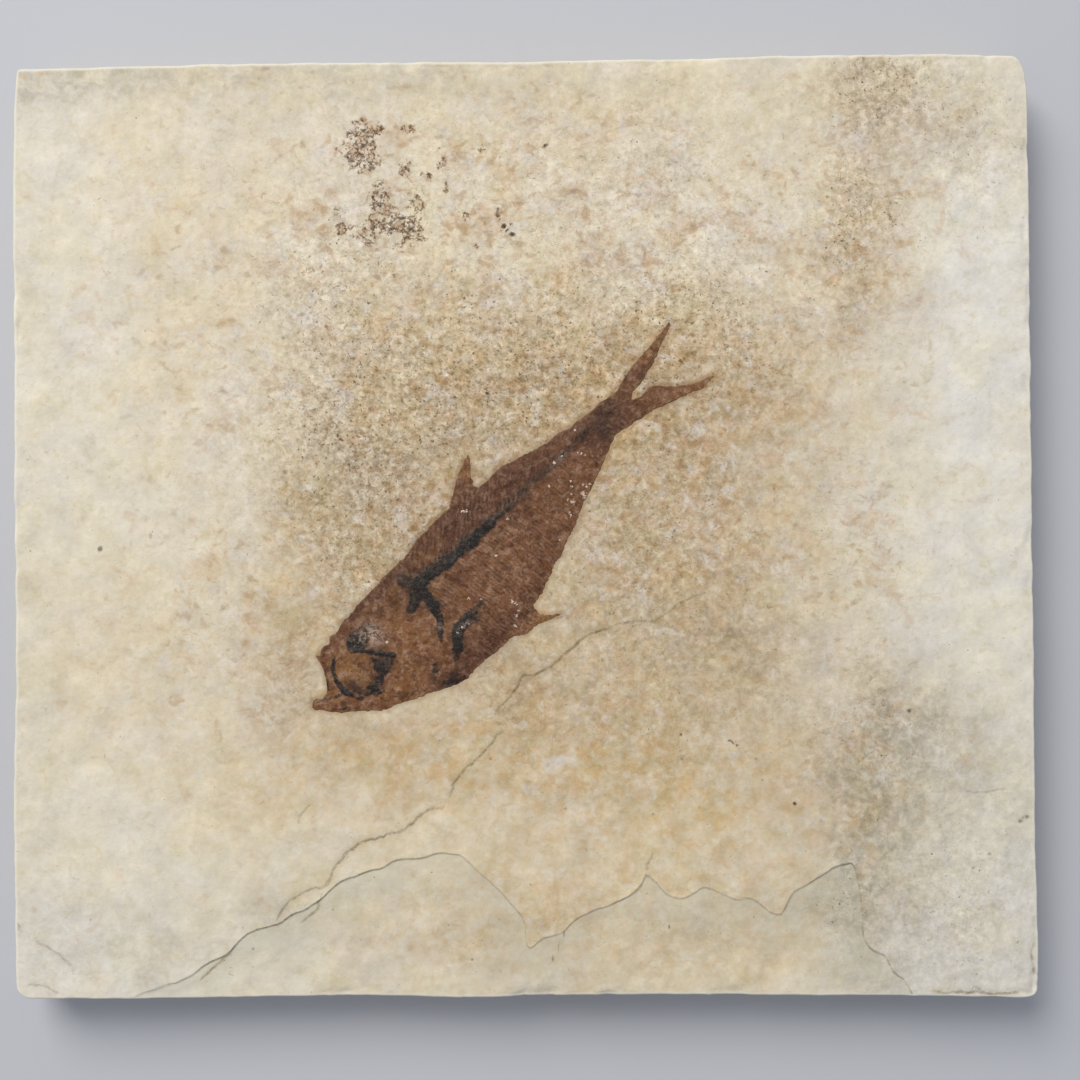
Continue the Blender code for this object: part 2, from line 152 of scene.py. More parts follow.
# Dark mineral specks as (x, y, half width, half height, blackness).
SPECKS = [
    (40.9, -42.2, 0.32, 0.3, 1.0), (-64.9, -3.4, 0.45, 0.5, 0.75), (-2.1, 44.5, 0.5, 0.36, 1.0),
    (-3.4, 45.7, 0.36, 0.4, 0.85), (-4.5, 47.5, 0.26, 0.3, 0.6), (-4.2, 48.4, 0.22, 0.26, 0.6),
    (76.2, -44.2, 0.45, 0.3, 0.65), (75.3, -44.9, 0.4, 0.25, 0.55), (-5.9, 20.3, 0.34, 0.3, 0.95),
    (31.0, -32.6, 0.26, 0.24, 0.75), (32.1, -33.3, 0.22, 0.24, 0.7), (23.6, -31.7, 0.24, 0.24, 0.7),
    (3.2, 58.2, 0.3, 0.26, 0.7), (-12.2, 52.2, 0.22, 0.42, 0.7), (58.3, -28.1, 0.42, 0.34, 0.75),
    (68.1, -52.0, 0.3, 0.26, 0.42), (70.6, -49.9, 0.3, 0.26, 0.42), (6.0, -43.0, 0.26, 0.24, 0.4),
    (35.0, -35.4, 0.24, 0.22, 0.42), (-5.4, -35.4, 0.26, 0.24, 0.42), (23.7, -35.4, 0.3, 0.26, 0.38),
    (19.4, -43.8, 0.26, 0.24, 0.4), (21.8, -61.0, 0.2, 0.34, 0.6), (-8.2, -66.0, 0.24, 0.24, 0.5),
    (4.1, -65.8, 0.2, 0.5, 0.5), (5.8, -62.0, 0.18, 0.6, 0.42), (-57.2, -1.4, 0.26, 0.6, 0.35),
    (-36.7, 8.3, 0.4, 0.36, 0.45), (-37.0, 28.7, 0.3, 0.28, 0.45), (-36.4, 3.6, 0.26, 0.6, 0.4),
    (-17.0, 45.0, 0.3, 0.3, 0.7), (-46.9, 33.7, 0.3, 0.26, 0.25), (69.4, -66.0, 0.3, 0.24, 0.3),
    (36.0, -38.6, 0.2, 0.2, 0.35), (-41.6, -64.4, 0.24, 0.22, 0.55), (27.8, -61.8, 0.2, 0.2, 0.3),
]

# ---------------------------------------------------------------- colour zones, in plate millimetres

# Each zone is a list of soft ellipses (x, y, half width, half height, strength).
ZONES = {
    # Brown stain that spread from the fish and from two spots on the right.
    "stain": [
        (-26, 14, 12, 20, 0.28), (-12, 4, 18, 16, 0.55), (0, 21, 20, 11, 0.56), (27, 18, 15, 12, 0.52),
        (18, -4, 22, 22, 0.5), (14, -28, 26, 10, 0.33), (-24, -33, 14, 6, 0.35), (53, 64, 10, 7, 0.32),
        (51, 46, 6, 12, 0.34), (46, 28, 8, 9, 0.1), (64, 60, 12, 6, 0.26), (50, 68, 8, 4, 0.3),
        (56, -26, 8, 8, 0.3), (49, -41, 6, 6, 0.3), (53, 38, 6, 6, 0.35), (-32, 34, 8, 8, 0.12),
        (32, -18, 10, 9, 0.3), (-14, 0, 7, 6, 0.6), (-22, -7, 6, 6, 0.55), (-30, -14, 6, 6, 0.4),
        (-36, -22, 6, 10, 0.55), (20, 10, 16, 10, 0.3), (-3, 10, 6, 6, 0.4), (6, 18, 6, 6, 0.3),
        (-3, -24, 9, 6, 0.48), (-30, -26, 6, 4, 0.3), (18, 21, 11, 5, 0.25), (-32, 2, 5, 6, 0.25),
        (-14, -18, 8, 5, 0.3), (2, -62, 12, 6, 0.22), (31, 26, 8, 7, 0.2),
    ],
    # Yellow to orange limonite.
    "ochre": [
        (10, -36, 34, 12, 0.85), (-22, -36, 18, 8, 0.6), (30, -44, 20, 10, 0.62), (3, -60, 34, 12, 0.66),
        (34, 14, 12, 24, 0.45), (-4, 30, 26, 12, 0.4), (-58, -20, 16, 15, 0.3), (-48, 38, 20, 32, 0.2),
        (48, 24, 9, 18, 0.15), (52, 42, 8, 12, 0.35), (58, 62, 10, 8, 0.2), (10, 58, 30, 14, 0.32),
        (-16, 18, 14, 16, 0.3), (20, -12, 20, 16, 0.4), (36, -62, 18, 8, 0.35), (-33, -7, 9, 15, 0.6),
        (0, -6, 14, 16, 0.3), (14, 18, 18, 12, 0.7), (8, -18, 20, 8, 0.3), (-43, -43, 8, 6, 0.35),
    ],
    # Grey clay stain, below on the right. The strips at (-75, 0), (-32, 68), (-50, 69) and (-70, 70) darken
    # the stone along the left and top edges.
    "smoke": [
        (56, -31, 8, 9, 0.58), (52, -42, 6, 8, 0.6), (50.5, -57, 3.5, 8, 0.8), (68, -34, 8, 8, 0.3),
        (57, 66, 9, 8, 0.08), (-30, 6, 7, 10, 0.22), (30, -15, 10, 9, 0.3), (44, -57, 5, 4, 0.5),
        (54, -69, 6, 4, 0.4), (-52, -66, 16, 4, 0.2), (66, -62, 12, 8, 0.3), (-36, -58, 10, 3, 0.35),
        (30, -60, 12, 3, 0.25), (-32, 68, 50, 5, 0.3), (47, -44, 6, 6, 0.3), (56, -52, 6, 14, 0.5),
        (-70, 70, 14, 6, 0.3), (64, -42, 12, 10, 0.25), (75, -46, 6, 14, 0.2), (-64, -62, 14, 6, 0.25),
        (-75, 0, 6, 80, 0.13), (-50, 69, 26, 4, 0.12),
    ],
    # Bleached, cool white stone; on the right it is partly a painted cool reflection.
    "frost": [
        (50, 10, 8, 10, 0.4), (26, 50, 8, 8, 0.35), (71, 20, 13, 40, 1.0), (66, 44, 12, 12, 0.95),
        (-72, 40, 10, 34, 0.5), (-66, -64, 18, 12, 0.75), (72, -56, 12, 16, 1.0), (60, -64, 9, 9, 0.6),
        (36, 58, 14, 7, 0.55), (-43, 17, 6, 9, 0.4), (-43, -16, 5, 7, 0.4), (-70, 0, 9, 20, 0.3),
        (68, -14, 10, 14, 0.6), (70, -50, 12, 22, 1.0), (-68, 22, 8, 14, 0.3), (-36, -65, 12, 5, 0.5),
        (62, -68, 12, 5, 0.5), (-22, -56, 8, 3, 0.4),
    ],
    # Where grains of black mineral are sown.
    "pepper": [
        (-27, 14, 13, 20, 0.85), (-10, 20, 16, 14, 0.7), (4, 26, 20, 12, 0.75), (26, 30, 16, 12, 0.7),
        (54, 66, 9, 7, 0.75), (50, 46, 6, 13, 0.75), (66, 58, 10, 12, 0.35), (8, 54, 30, 14, 0.32),
        (18, -2, 22, 24, 0.5), (14, -28, 26, 10, 0.15), (53, -32, 8, 11, 0.36), (50, -56, 4, 9, 0.5),
        (-30, 38, 10, 10, 0.5), (-22, -6, 10, 14, 0.6), (66, -56, 10, 14, 0.3), (20, -60, 30, 8, 0.12),
    ],
    # Where small spots of single colours are sown.
    "mottle": [
        (-14, 50, 34, 24, 0.7), (26, 46, 26, 24, 0.7), (-20, 10, 21, 26, 0.7), (16, 6, 32, 26, 0.8),
        (-44, -18, 20, 20, 0.55), (6, -34, 38, 13, 0.45), (-52, 30, 22, 44, 0.42), (54, 44, 12, 28, 0.6),
        (50, -2, 10, 14, 0.6), (52, -34, 14, 20, 0.5), (-10, -62, 60, 9, 0.3), (66, -58, 12, 14, 0.15),
        (27, -4, 12, 12, 0.25),
    ],
    # Clusters of branching manganese threads.
    "dendrite": [
        (-24.9, 59.4, 1.9, 1.8, 1.0), (-25.8, 56.6, 1.5, 2.0, 0.9), (-24.6, 54.9, 2.1, 0.8, 0.8),
        (-22.4, 60.3, 1.2, 0.5, 0.45), (-17.9, 60.4, 0.7, 0.8, 0.8), (-19.3, 60.8, 0.7, 0.4, 0.4),
        (-25.2, 61.4, 1.2, 0.5, 0.45), (-23.2, 56.4, 1.0, 1.4, 0.5), (-28.6, 57.5, 0.6, 0.8, 0.4),
        (-18.3, 54.5, 0.8, 1.3, 0.8), (-15.4, 53.3, 0.9, 0.7, 0.95), (-12.2, 51.2, 0.5, 0.6, 0.6),
        (-22.3, 50.3, 1.3, 1.2, 0.8), (-21.8, 48.6, 1.3, 1.2, 0.8), (-21.1, 47.2, 2.3, 1.9, 1.0),
        (-22.6, 46.3, 1.8, 1.2, 0.8), (-16.6, 49.2, 1.0, 1.8, 0.9), (-18.7, 45.8, 1.5, 1.0, 0.85),
        (-16.9, 44.0, 1.5, 1.5, 0.9), (-17.2, 46.6, 0.6, 0.8, 0.5), (-22.8, 40.4, 1.1, 0.8, 0.35),
        (-27.9, 45.4, 1.1, 1.0, 0.95), (-24.6, 44.4, 1.8, 1.5, 0.75), (2.9, 57.9, 0.5, 0.7, 0.6),
        (-19.4, 42.3, 0.9, 0.9, 0.55), (-9.0, 47.3, 0.6, 0.6, 0.8), (-3.4, 45.7, 0.9, 0.7, 0.8),
        (-4.3, 47.8, 0.6, 0.8, 0.6), (-28.9, 48.0, 0.8, 0.6, 0.55), (-6.7, 57.6, 0.8, 0.5, 0.5),
        (-13.3, 55.4, 0.9, 1.3, 0.4), (-22.0, 52.3, 0.8, 0.7, 0.6), (-7.4, 42.4, 0.8, 0.7, 0.4),
    ],
}

# ---------------------------------------------------------------- the fish's own lines, in (s, t) millimetres

JAW_TIP = (-32.4, -28.1)
FISH_TILT = math.radians(43.5)
BACK_LINE = [
    (0.0, 0.5), (0.5, 1.1), (1.3, 1.35), (2.4, 0.7), (3.5, 0.9), (4.4, 2.1), (5.2, 3.3), (5.65, 4.6),
    (5.85, 5.7), (6.5, 5.6), (7.3, 6.1), (8.1, 6.2), (8.7, 6.0), (9.5, 6.5), (10.6, 6.35), (12.5, 6.9),
    (14.0, 6.95), (16.0, 7.2), (18.0, 7.3), (20.0, 7.35), (22.0, 7.6), (24.5, 7.6), (27.0, 7.7),
    (28.0, 8.0), (30.0, 8.2), (32.0, 8.35), (35.8, 8.3), (38.5, 8.0), (41.6, 7.6), (43.0, 7.4),
    (45.0, 7.5), (46.2, 7.5), (48.0, 6.9), (50.0, 6.4), (52.0, 5.75), (54.0, 5.3), (56.0, 5.1),
    (58.0, 4.6), (60.0, 4.4), (62.0, 4.2), (64.0, 4.1), (66.0, 3.8), (68.0, 3.6),
]
BELLY_LINE = [
    (0.0, -0.1), (1.0, -1.0), (2.0, -2.4), (3.5, -3.8), (5.0, -5.0), (6.0, -5.9), (7.0, -6.9),
    (8.0, -7.6), (10.0, -8.2), (11.0, -8.7), (12.0, -9.3), (13.0, -9.75), (14.0, -10.1), (15.0, -10.4),
    (16.0, -11.0), (18.0, -12.0), (19.0, -12.4), (20.0, -12.7), (22.0, -12.5), (24.5, -12.5),
    (27.0, -12.85), (28.0, -12.75), (30.0, -12.8), (33.0, -11.9), (36.0, -11.35), (38.0, -10.95),
    (39.5, -10.3), (41.0, -9.8), (42.0, -9.3), (43.6, -8.95), (45.0, -8.4), (46.0, -7.85), (48.0, -7.3),
    (49.5, -6.6), (50.3, -6.1), (52.0, -5.4), (54.0, -4.8), (56.0, -4.0), (58.0, -3.2), (60.0, -2.3),
    (61.3, -1.7), (62.5, -1.4), (64.0, -1.7), (66.0, -2.0), (68.0, -2.4),
]
BACKBONE_LINE = [
    (0.0, 0.2), (2.5, -1.0), (5.0, -0.8), (8.0, 0.0), (16.0, 1.6), (23.0, 3.0), (26.0, 3.0), (30.0, 2.9),
    (33.0, 2.6), (36.0, 2.25), (40.0, 2.05), (43.0, 2.05), (45.0, 1.95), (50.0, 1.8), (56.0, 1.9),
    (60.0, 1.7), (64.0, 1.2), (68.0, 0.8),
]
SKULL_END = 23.0
TAIL_ROOT = 60.0
BODY_END = 68.0
VERTEBRA = 0.86
RIB_SPACING = 0.57
SPINE_LEAN = 0.95
RIB_LEAN = 0.14
# Where the belly's scutes start and end, and their spacing.
SCUTES = (20.0, 51.0, 1.0)
# How far the fish's base reaches down into the stone.
FILM_SINK = 0.45

# Fins as (leading edge, trailing edge, rays).
FINS = {
    "dorsal": (
        [(35.4, 6.6), (36.2, 8.3), (37.5, 9.2), (39.5, 10.4), (41.5, 11.35), (42.8, 11.95), (44.0, 12.4)],
        [(42.4, 6.2), (41.6, 7.9), (41.8, 8.6), (42.2, 9.4), (42.8, 10.2), (43.8, 11.2), (44.2, 12.1)],
        9,
    ),
    "pelvic": (
        [
            (29.0, -11.2), (30.0, -13.0), (31.5, -13.9), (33.7, -14.1), (34.9, -14.5), (36.1, -15.0),
            (38.0, -15.75),
        ],
        [
            (36.0, -10.2), (35.6, -11.5), (35.3, -12.6), (35.8, -13.4), (36.3, -14.0), (37.0, -14.6),
            (38.1, -15.5),
        ],
        6,
    ),
    "upper_lobe": (
        [(62.5, 3.3), (65.0, 3.7), (67.0, 3.7), (69.0, 4.3), (71.0, 4.7), (73.0, 5.0), (75.0, 5.15),
         (77.0, 5.4), (80.3, 5.8)],
        [(62.5, 0.6), (65.0, 0.8), (67.5, 0.9), (69.0, 1.5), (71.0, 1.9), (73.0, 2.35), (75.0, 2.95),
         (77.0, 3.9), (80.1, 5.1)],
        9,
    ),
    "lower_lobe": (
        [(62.5, 2.0), (65.0, 1.5), (67.5, 1.2), (69.3, 0.6), (71.2, 0.75), (72.2, 0.0), (74.0, -1.8),
         (76.0, -3.3), (79.6, -4.8)],
        [(62.5, -0.9), (64.0, -1.6), (66.0, -2.0), (68.0, -2.4), (70.5, -3.0), (72.5, -3.8), (75.0, -4.6),
         (76.8, -5.3), (79.6, -5.2)],
        9,
    ),
}

# Black bones as (half widths at start, middle and end; height; blackness at start, middle and end; points).
BLACK_BONES = {
    "backbone": ((1.0, 0.85, 0.5), 0.07, (1.0, 1.0, 0.3), [
        (24.6, 3.1), (26.0, 3.05), (28.0, 2.85), (30.0, 2.6), (32.0, 2.4), (34.0, 2.2), (36.0, 2.05),
        (38.0, 2.05), (40.0, 2.1), (42.0, 2.05), (43.5, 1.9), (45.0, 1.6), (46.8, 1.25)]),
    "nape": ((0.8, 1.1, 1.15), 0.03, (0.5, 0.75, 0.85), [(23.6, 5.9), (23.7, 4.9), (24.1, 3.9), (24.8, 3.1)]),
    "shoulder_knob": ((0.95, 0.8, 0.85), 0.07, (0.95, 0.9, 1.0), [
        (21.7, 1.0), (22.6, 1.6), (23.7, 2.0), (24.7, 2.3)]),
    "shoulder_arc": ((0.85, 0.72, 0.4), 0.09, (1.0, 1.0, 0.8), [
        (24.6, 2.3), (24.65, 1.0), (24.5, -0.2), (24.35, -1.2), (24.0, -2.3), (23.5, -3.3), (22.6, -4.4),
        (21.5, -5.6)]),
    "breast_low": ((0.45, 0.95, 0.9), 0.07, (0.5, 1.0, 1.0), [
        (21.0, -9.2), (22.2, -8.6), (23.0, -7.7), (23.8, -6.8)]),
    "breast_long": ((0.85, 0.85, 0.35), 0.08, (1.0, 1.0, 0.45), [
        (23.6, -6.8), (25.0, -6.3), (26.8, -6.1), (28.6, -5.9), (30.3, -5.6)]),
    "breast_back": ((0.4, 0.6, 0.4), 0.05, (0.6, 0.7, 0.3), [(26.6, -6.8), (27.6, -7.0), (28.9, -6.5)]),
    "eye_crescent": ((0.24, 0.32, 0.28), 0.06, (0.85, 1.0, 0.95), [
        (7.9, 3.6), (7.0, 2.9), (6.2, 1.8), (5.75, 0.5), (5.6, -0.8), (5.8, -2.0), (6.2, -3.0), (6.9, -3.8)]),
    "eye_under": (
        (0.35, 0.5, 0.45), 0.04, (0.6, 0.75, 0.8), [(6.7, -2.0), (7.5, -3.2), (8.6, -4.2), (9.5, -4.7)]),
    "eye_blob": ((0.5, 0.72, 0.3), 0.06, (0.95, 1.0, 0.7), [(8.6, -3.3), (9.3, -4.0), (9.9, -5.0)]),
    "eye_right": ((0.3, 0.5, 0.6), 0.03, (0.4, 0.6, 0.65), [
        (11.6, 1.5), (12.0, 0.4), (12.1, -0.8), (11.7, -2.0), (10.9, -3.0)]),
    "eye_corner": (
        (0.7, 1.1, 0.9), 0.03, (0.6, 0.7, 0.75), [(13.9, -2.0), (12.9, -2.5), (11.6, -3.1), (10.3, -3.8)]),
    "eye_strut": ((0.35, 0.5, 0.42), 0.07, (0.9, 1.0, 0.9), [
        (11.2, 2.2), (12.1, 1.2), (13.0, 0.1), (13.8, -1.0), (14.6, -2.1)]),
    "brow_net": (
        (1.0, 1.3, 1.0), 0.05, (0.85, 0.75, 0.45), [(11.3, 2.9), (12.3, 3.1), (13.4, 3.2), (14.8, 2.8)]),
    "brow_edge": ((0.25, 0.32, 0.25), 0.05, (0.7, 0.95, 0.7), [
        (13.0, 1.6), (11.4, 2.0), (10.8, 3.0), (11.3, 4.1), (12.6, 4.5), (13.6, 4.2)]),
    "brow_arc": (
        (0.25, 0.3, 0.15), 0.05, (0.85, 0.8, 0.5), [(13.4, 4.4), (14.5, 4.1), (15.5, 3.2), (16.2, 2.1)]),
    "jaw_line": (
        (0.25, 0.3, 0.25), 0.02, (0.6, 0.7, 0.5), [(2.2, -1.9), (3.1, -2.6), (4.0, -3.3), (4.8, -4.0)]),
    "lip_line": (
        (0.25, 0.3, 0.25), 0.02, (0.6, 0.75, 0.65), [(1.0, 0.7), (2.4, 0.1), (3.8, -0.7), (4.7, -1.1)]),
    "snout_line": ((0.25, 0.3, 0.25), 0.02, (0.7, 0.7, 0.6), [(3.7, 0.9), (4.6, 2.1), (5.5, 3.3)]),
    "gill_line": ((0.3, 0.4, 0.3), 0.03, (0.75, 0.9, 0.75), [(16.7, -9.1), (17.8, -8.2), (18.8, -7.1)]),
    "throat": (
        (0.3, 0.5, 0.4), 0.03, (0.55, 0.65, 0.55),
        [(16.4, -9.8), (17.4, -10.5), (18.6, -11.5), (20.1, -12.1)]),
    "tail_bone_a": ((0.25, 0.5, 0.3), 0.03, (0.45, 0.7, 0.5), [(53.5, 2.0), (54.2, 2.1), (54.9, 1.9)]),
    "tail_bone_b": ((0.3, 0.6, 0.35), 0.03, (0.4, 0.65, 0.45), [(58.2, 2.4), (59.0, 2.3), (59.9, 2.2)]),
}

# Pale flecks on the fish as (s, t, radius).
FLAKES = [
    (37.5, 6.4, 0.3), (37.9, 6.0, 0.2), (29.0, -3.8, 0.24), (33.5, -8.8, 0.28), (33.7, -9.4, 0.24),
    (32.5, -10.7, 0.28), (33.2, -10.5, 0.24), (31.2, -11.8, 0.22), (49.0, -5.4, 0.26), (49.1, -4.9, 0.18),
    (50.6, -4.1, 0.36), (50.3, -3.4, 0.2), (51.2, -3.1, 0.16), (52.5, -4.5, 0.5), (53.8, -3.8, 0.26),
    (54.3, -3.9, 0.24), (53.5, -3.3, 0.2), (52.0, -2.3, 0.24), (52.5, -1.6, 0.16), (52.7, 2.2, 0.26),
    (54.2, 2.0, 0.2), (41.6, 0.8, 0.24), (36.5, -2.0, 0.2), (30.3, -5.2, 0.16), (49.7, 0.1, 0.2),
    (25.3, -6.3, 0.24), (26.3, -6.5, 0.2), (24.3, -6.5, 0.16), (33.8, -2.4, 0.14), (45.2, -7.0, 0.14),
    (15.4, -0.1, 0.26), (58.3, 3.6, 0.14), (56.3, 0.8, 0.15), (56.6, 0.35, 0.17), (56.9, -0.15, 0.19),
]

# Soft zones of the fish as (s, t, half length, half height, strength).
FISH_ZONES = {
    # Golden brown, where the film is thin over bone.
    "gold": [
        (12.5, -1.5, 11.0, 8.0, 0.22), (9.2, -0.1, 2.5, 2.6, 1.0), (8.6, 3.6, 2.2, 1.2, 0.5),
        (16.5, -5.0, 5.0, 3.2, 0.25), (19.5, -2.5, 2.6, 3.8, 0.12), (28.5, 5.6, 4.6, 1.7, 0.85),
        (17.0, 5.0, 2.6, 1.7, 0.6), (21.4, 4.4, 1.6, 1.8, 0.7), (37.0, -3.0, 4.0, 3.6, 0.35),
        (12.5, -7.0, 4.0, 1.6, 0.55), (45.0, 4.5, 5.0, 1.4, 0.25), (27.5, -1.5, 2.4, 2.6, 0.3),
        (41.0, 10.4, 3.4, 1.8, 0.75), (34.4, -13.9, 3.8, 1.7, 1.0), (76.5, -4.6, 4.0, 1.3, 0.9),
        (76.0, 4.8, 5.0, 1.4, 1.0), (70.0, -1.2, 3.4, 1.3, 0.5), (68.0, 3.0, 3.0, 1.2, 0.4),
        (51.0, -2.0, 3.6, 2.2, 0.5), (3.0, -0.6, 2.2, 1.6, 0.7), (4.6, -2.8, 1.4, 1.6, 0.5),
        (8.0, -6.2, 2.0, 0.8, 0.5), (17.0, -1.0, 3.6, 3.4, 0.25),
    ],
    # Dark, reddish brown, where the film is thick; (7.0, -1.8) is painted shadow at the lower left of the
    # eyeball.
    "dusk": [
        (36.5, 5.5, 6.0, 2.8, 1.0), (50.0, 4.2, 9.0, 2.4, 0.85), (62.5, 1.2, 4.8, 3.4, 1.0),
        (30.0, 6.6, 26.0, 2.6, 0.75), (70.5, 3.3, 3.2, 1.6, 0.55), (27.0, -11.0, 9.0, 1.8, 0.5),
        (64.8, 2.4, 1.8, 1.0, 0.8), (19.2, 6.2, 1.5, 1.0, 0.85), (24.0, 7.0, 4.0, 0.7, 0.6),
        (14.0, 6.6, 3.6, 0.5, 0.5), (10.0, 5.6, 2.4, 0.9, 0.6), (19.0, -11.0, 3.4, 1.5, 0.9),
        (24.0, -11.4, 5.0, 1.3, 0.6), (7.0, -1.8, 1.3, 1.2, 0.85), (12.8, -2.4, 2.0, 1.2, 0.9),
        (30.0, -0.4, 3.4, 1.2, 0.5), (44.0, -1.0, 5.0, 2.2, 0.28), (36.0, -10.0, 4.0, 1.0, 0.4),
        (55.0, -1.0, 4.5, 2.6, 0.1), (69.0, -1.2, 4.0, 1.3, 0.35), (72.6, 2.6, 1.8, 0.6, 0.6),
        (41.0, -5.6, 2.4, 2.0, 0.3), (26.4, 4.8, 1.4, 1.0, 0.6), (31.0, 6.6, 0.8, 0.6, 0.7),
        (52.0, -2.0, 1.4, 0.8, 0.5), (22.5, 0.2, 1.2, 1.0, 0.5), (27.0, -9.4, 2.4, 1.6, 0.45),
    ],
    # Sooty grey, where black bone lies under the film; (7.0, -1.7) and (12.4, -1.0) are painted shadow beside
    # the eyeball.
    "soot": [
        (23.7, 4.9, 1.3, 1.6, 0.95), (25.6, 4.0, 2.0, 0.9, 0.7), (23.2, 1.7, 2.0, 1.0, 0.7),
        (24.6, -0.6, 1.2, 2.6, 0.6), (23.4, -7.8, 1.6, 1.4, 0.6), (27.2, -6.5, 2.6, 0.9, 0.6),
        (33.0, 2.7, 9.0, 1.1, 0.65), (44.0, 2.1, 4.5, 0.9, 0.6), (48.5, 2.2, 5.0, 0.8, 0.7),
        (54.1, 2.1, 1.1, 0.7, 0.85), (59.0, 2.4, 1.5, 1.0, 0.9), (61.5, 0.2, 1.4, 1.1, 0.85),
        (62.6, 1.2, 3.2, 2.4, 0.7), (7.0, -1.7, 1.2, 1.4, 0.95), (12.4, -1.0, 1.4, 1.8, 0.95),
        (12.0, 3.2, 1.6, 1.3, 0.75), (18.2, -11.1, 2.4, 0.8, 0.85), (9.2, -3.6, 1.6, 0.9, 0.6),
        (72.8, 2.5, 1.3, 0.5, 0.6), (50.5, 2.2, 1.5, 0.7, 0.4), (55.5, 2.1, 4.0, 0.7, 0.55),
    ],
    # Ash grey: painted highlights, the grey-white glints of the glossy bones and the brow.
    "ash": [
        (14.7, 2.1, 1.4, 1.7, 0.9), (25.4, -6.5, 1.1, 0.45, 0.7), (12.4, 3.2, 1.2, 0.9, 0.5),
        (22.9, -3.9, 0.5, 0.7, 0.5),
        (54.0, 2.0, 1.0, 0.5, 0.35),
    ],
}


# ---------------------------------------------------------------- shares used in the finishes

# How much a zone shifts the noise from which patches are cut.
SOWING_REACH = 0.16
# How grey a grain's tone is.
GREY_IN_DUST = 0.45


# ---------------------------------------------------------------- settings

class FossilPlateSettings(bpy.types.PropertyGroup):
    """What a user may change on the stone."""

    relief: bpy.props.FloatProperty(
        name="Relief", description="Height of the gentle lumps of the bedding face", default=0.1 * MM,
        min=0.0, max=0.3 * MM, precision=5, unit="LENGTH")
    ledge_depth: bpy.props.FloatProperty(
        name="Ledge depth", description="Thickness of the lamina that has flaked off", default=0.3 * MM,
        min=0.0, max=0.5 * MM, precision=5, unit="LENGTH")
    arris: bpy.props.FloatProperty(
        name="Worn edge", description="Radius that handling has given the upper edges", default=0.32 * MM,
        min=0.2 * MM, max=0.8 * MM, precision=5, unit="LENGTH")
    cream: bpy.props.StringProperty(name="Cream", description="Colour of the clean stone", default="#E4DDCC")
    tan: bpy.props.StringProperty(name="Tan", description="Colour of the stained stone", default="#9C7E58")
    ochre: bpy.props.StringProperty(name="Ochre", description="Colour of the limonite", default="#CDAE78")
    smoke: bpy.props.StringProperty(name="Smoke", description="Colour of the clay stain", default="#9A9484")
    # Frost is also laid as a painted cool reflection on the right.
    frost: bpy.props.StringProperty(
        name="Frost", description="Colour of the bleached stone", default="#E7E4DD")


class FossilFishSettings(bpy.types.PropertyGroup):
    """What a user may change on the fish."""

    dome: bpy.props.FloatProperty(
        name="Dome", description="How far the middle of the fish stands over its edge", default=0.44 * MM,
        min=0.0, max=0.6 * MM, precision=5, unit="LENGTH")
    rib_height: bpy.props.FloatProperty(
        name="Rib height", description="Height of the ribs and spines", default=0.06 * MM,
        min=0.0, max=0.2 * MM, precision=5, unit="LENGTH")
    film: bpy.props.StringProperty(name="Film", description="Colour of the mineral film", default="#7B5236")
    dusk: bpy.props.StringProperty(
        name="Dusk", description="Colour where the film is thick", default="#462616")
    gold: bpy.props.StringProperty(
        name="Gold", description="Colour where the film is thin", default="#8E6536")
    bone: bpy.props.StringProperty(name="Bone", description="Colour of the black bones", default="#211D1A")
    flake: bpy.props.StringProperty(name="Flake", description="Colour of the bare flecks", default="#E6CFBE")


class FossilStageSettings(bpy.types.PropertyGroup):
    """What a user may change on the stage."""

    floor_colour: bpy.props.StringProperty(name="Floor", description="Colour of the floor", default="#C3C6CE")
    key_power: bpy.props.FloatProperty(
        name="Key light", description="Power of the large soft light", default=9.9, min=0.0, unit="POWER")
    fill: bpy.props.FloatProperty(
        name="Fill", description="Strength of the light from all round", default=0.44, min=0.0)


# ---------------------------------------------------------------- shared arithmetic

def linear(hex_colour, alpha=1.0):
    """An sRGB hex colour as linear RGBA."""
    parts = [int(hex_colour[k:k + 2], 16) / 255 for k in (1, 3, 5)]
    return [c / 12.92 if c <= 0.04045 else ((c + 0.055) / 1.055) ** 2.4 for c in parts] + [alpha]


def ease(value, low, high):
    """0 below low, 1 above high, and 3u² - 2u³ between."""
    u = np.clip((value - low) / (high - low), 0.0, 1.0)
    return u * u * (3 - 2 * u)


def curve(points, at):
    """The smooth curve through the points, read at an array: cubic pieces that share their end slopes."""
    xs, ys = np.array(points, float).T
    slopes = np.gradient(ys, xs)
    at = np.clip(at, xs[0], xs[-1])
    i = np.clip(np.searchsorted(xs, at) - 1, 0, len(xs) - 2)
    width = xs[i + 1] - xs[i]
    u = (at - xs[i]) / width
    start = (1 + 2 * u) * (1 - u) ** 2 * ys[i] + u * (1 - u) ** 2 * width * slopes[i]
    end = u * u * (3 - 2 * u) * ys[i + 1] + u * u * (u - 1) * width * slopes[i + 1]
    return start + end


def trace(points, count):
    """A line of points as count points on a smooth curve through them, evenly spaced along it."""
    points = np.array(points, float)
    steps = np.arange(len(points))
    fine = np.linspace(0, len(points) - 1, 12 * len(points))
    path = np.stack([curve(list(zip(steps, axis)), fine) for axis in points.T], axis=1)
    gone = np.concatenate([[0.0], np.cumsum(np.linalg.norm(np.diff(path, axis=0), axis=1))])
    even = np.linspace(0, gone[-1], count)
    return np.stack([np.interp(even, gone, axis) for axis in path.T], axis=1)


def lattice(ix, iy, seed):
    """A steady random number, -1 to 1, for each point of a square lattice: the fraction of a large sine."""
    value = np.sin(ix * 127.1 + iy * 311.7 + seed * 74.7) * 43758.5453
    return 2 * (value - np.floor(value)) - 1


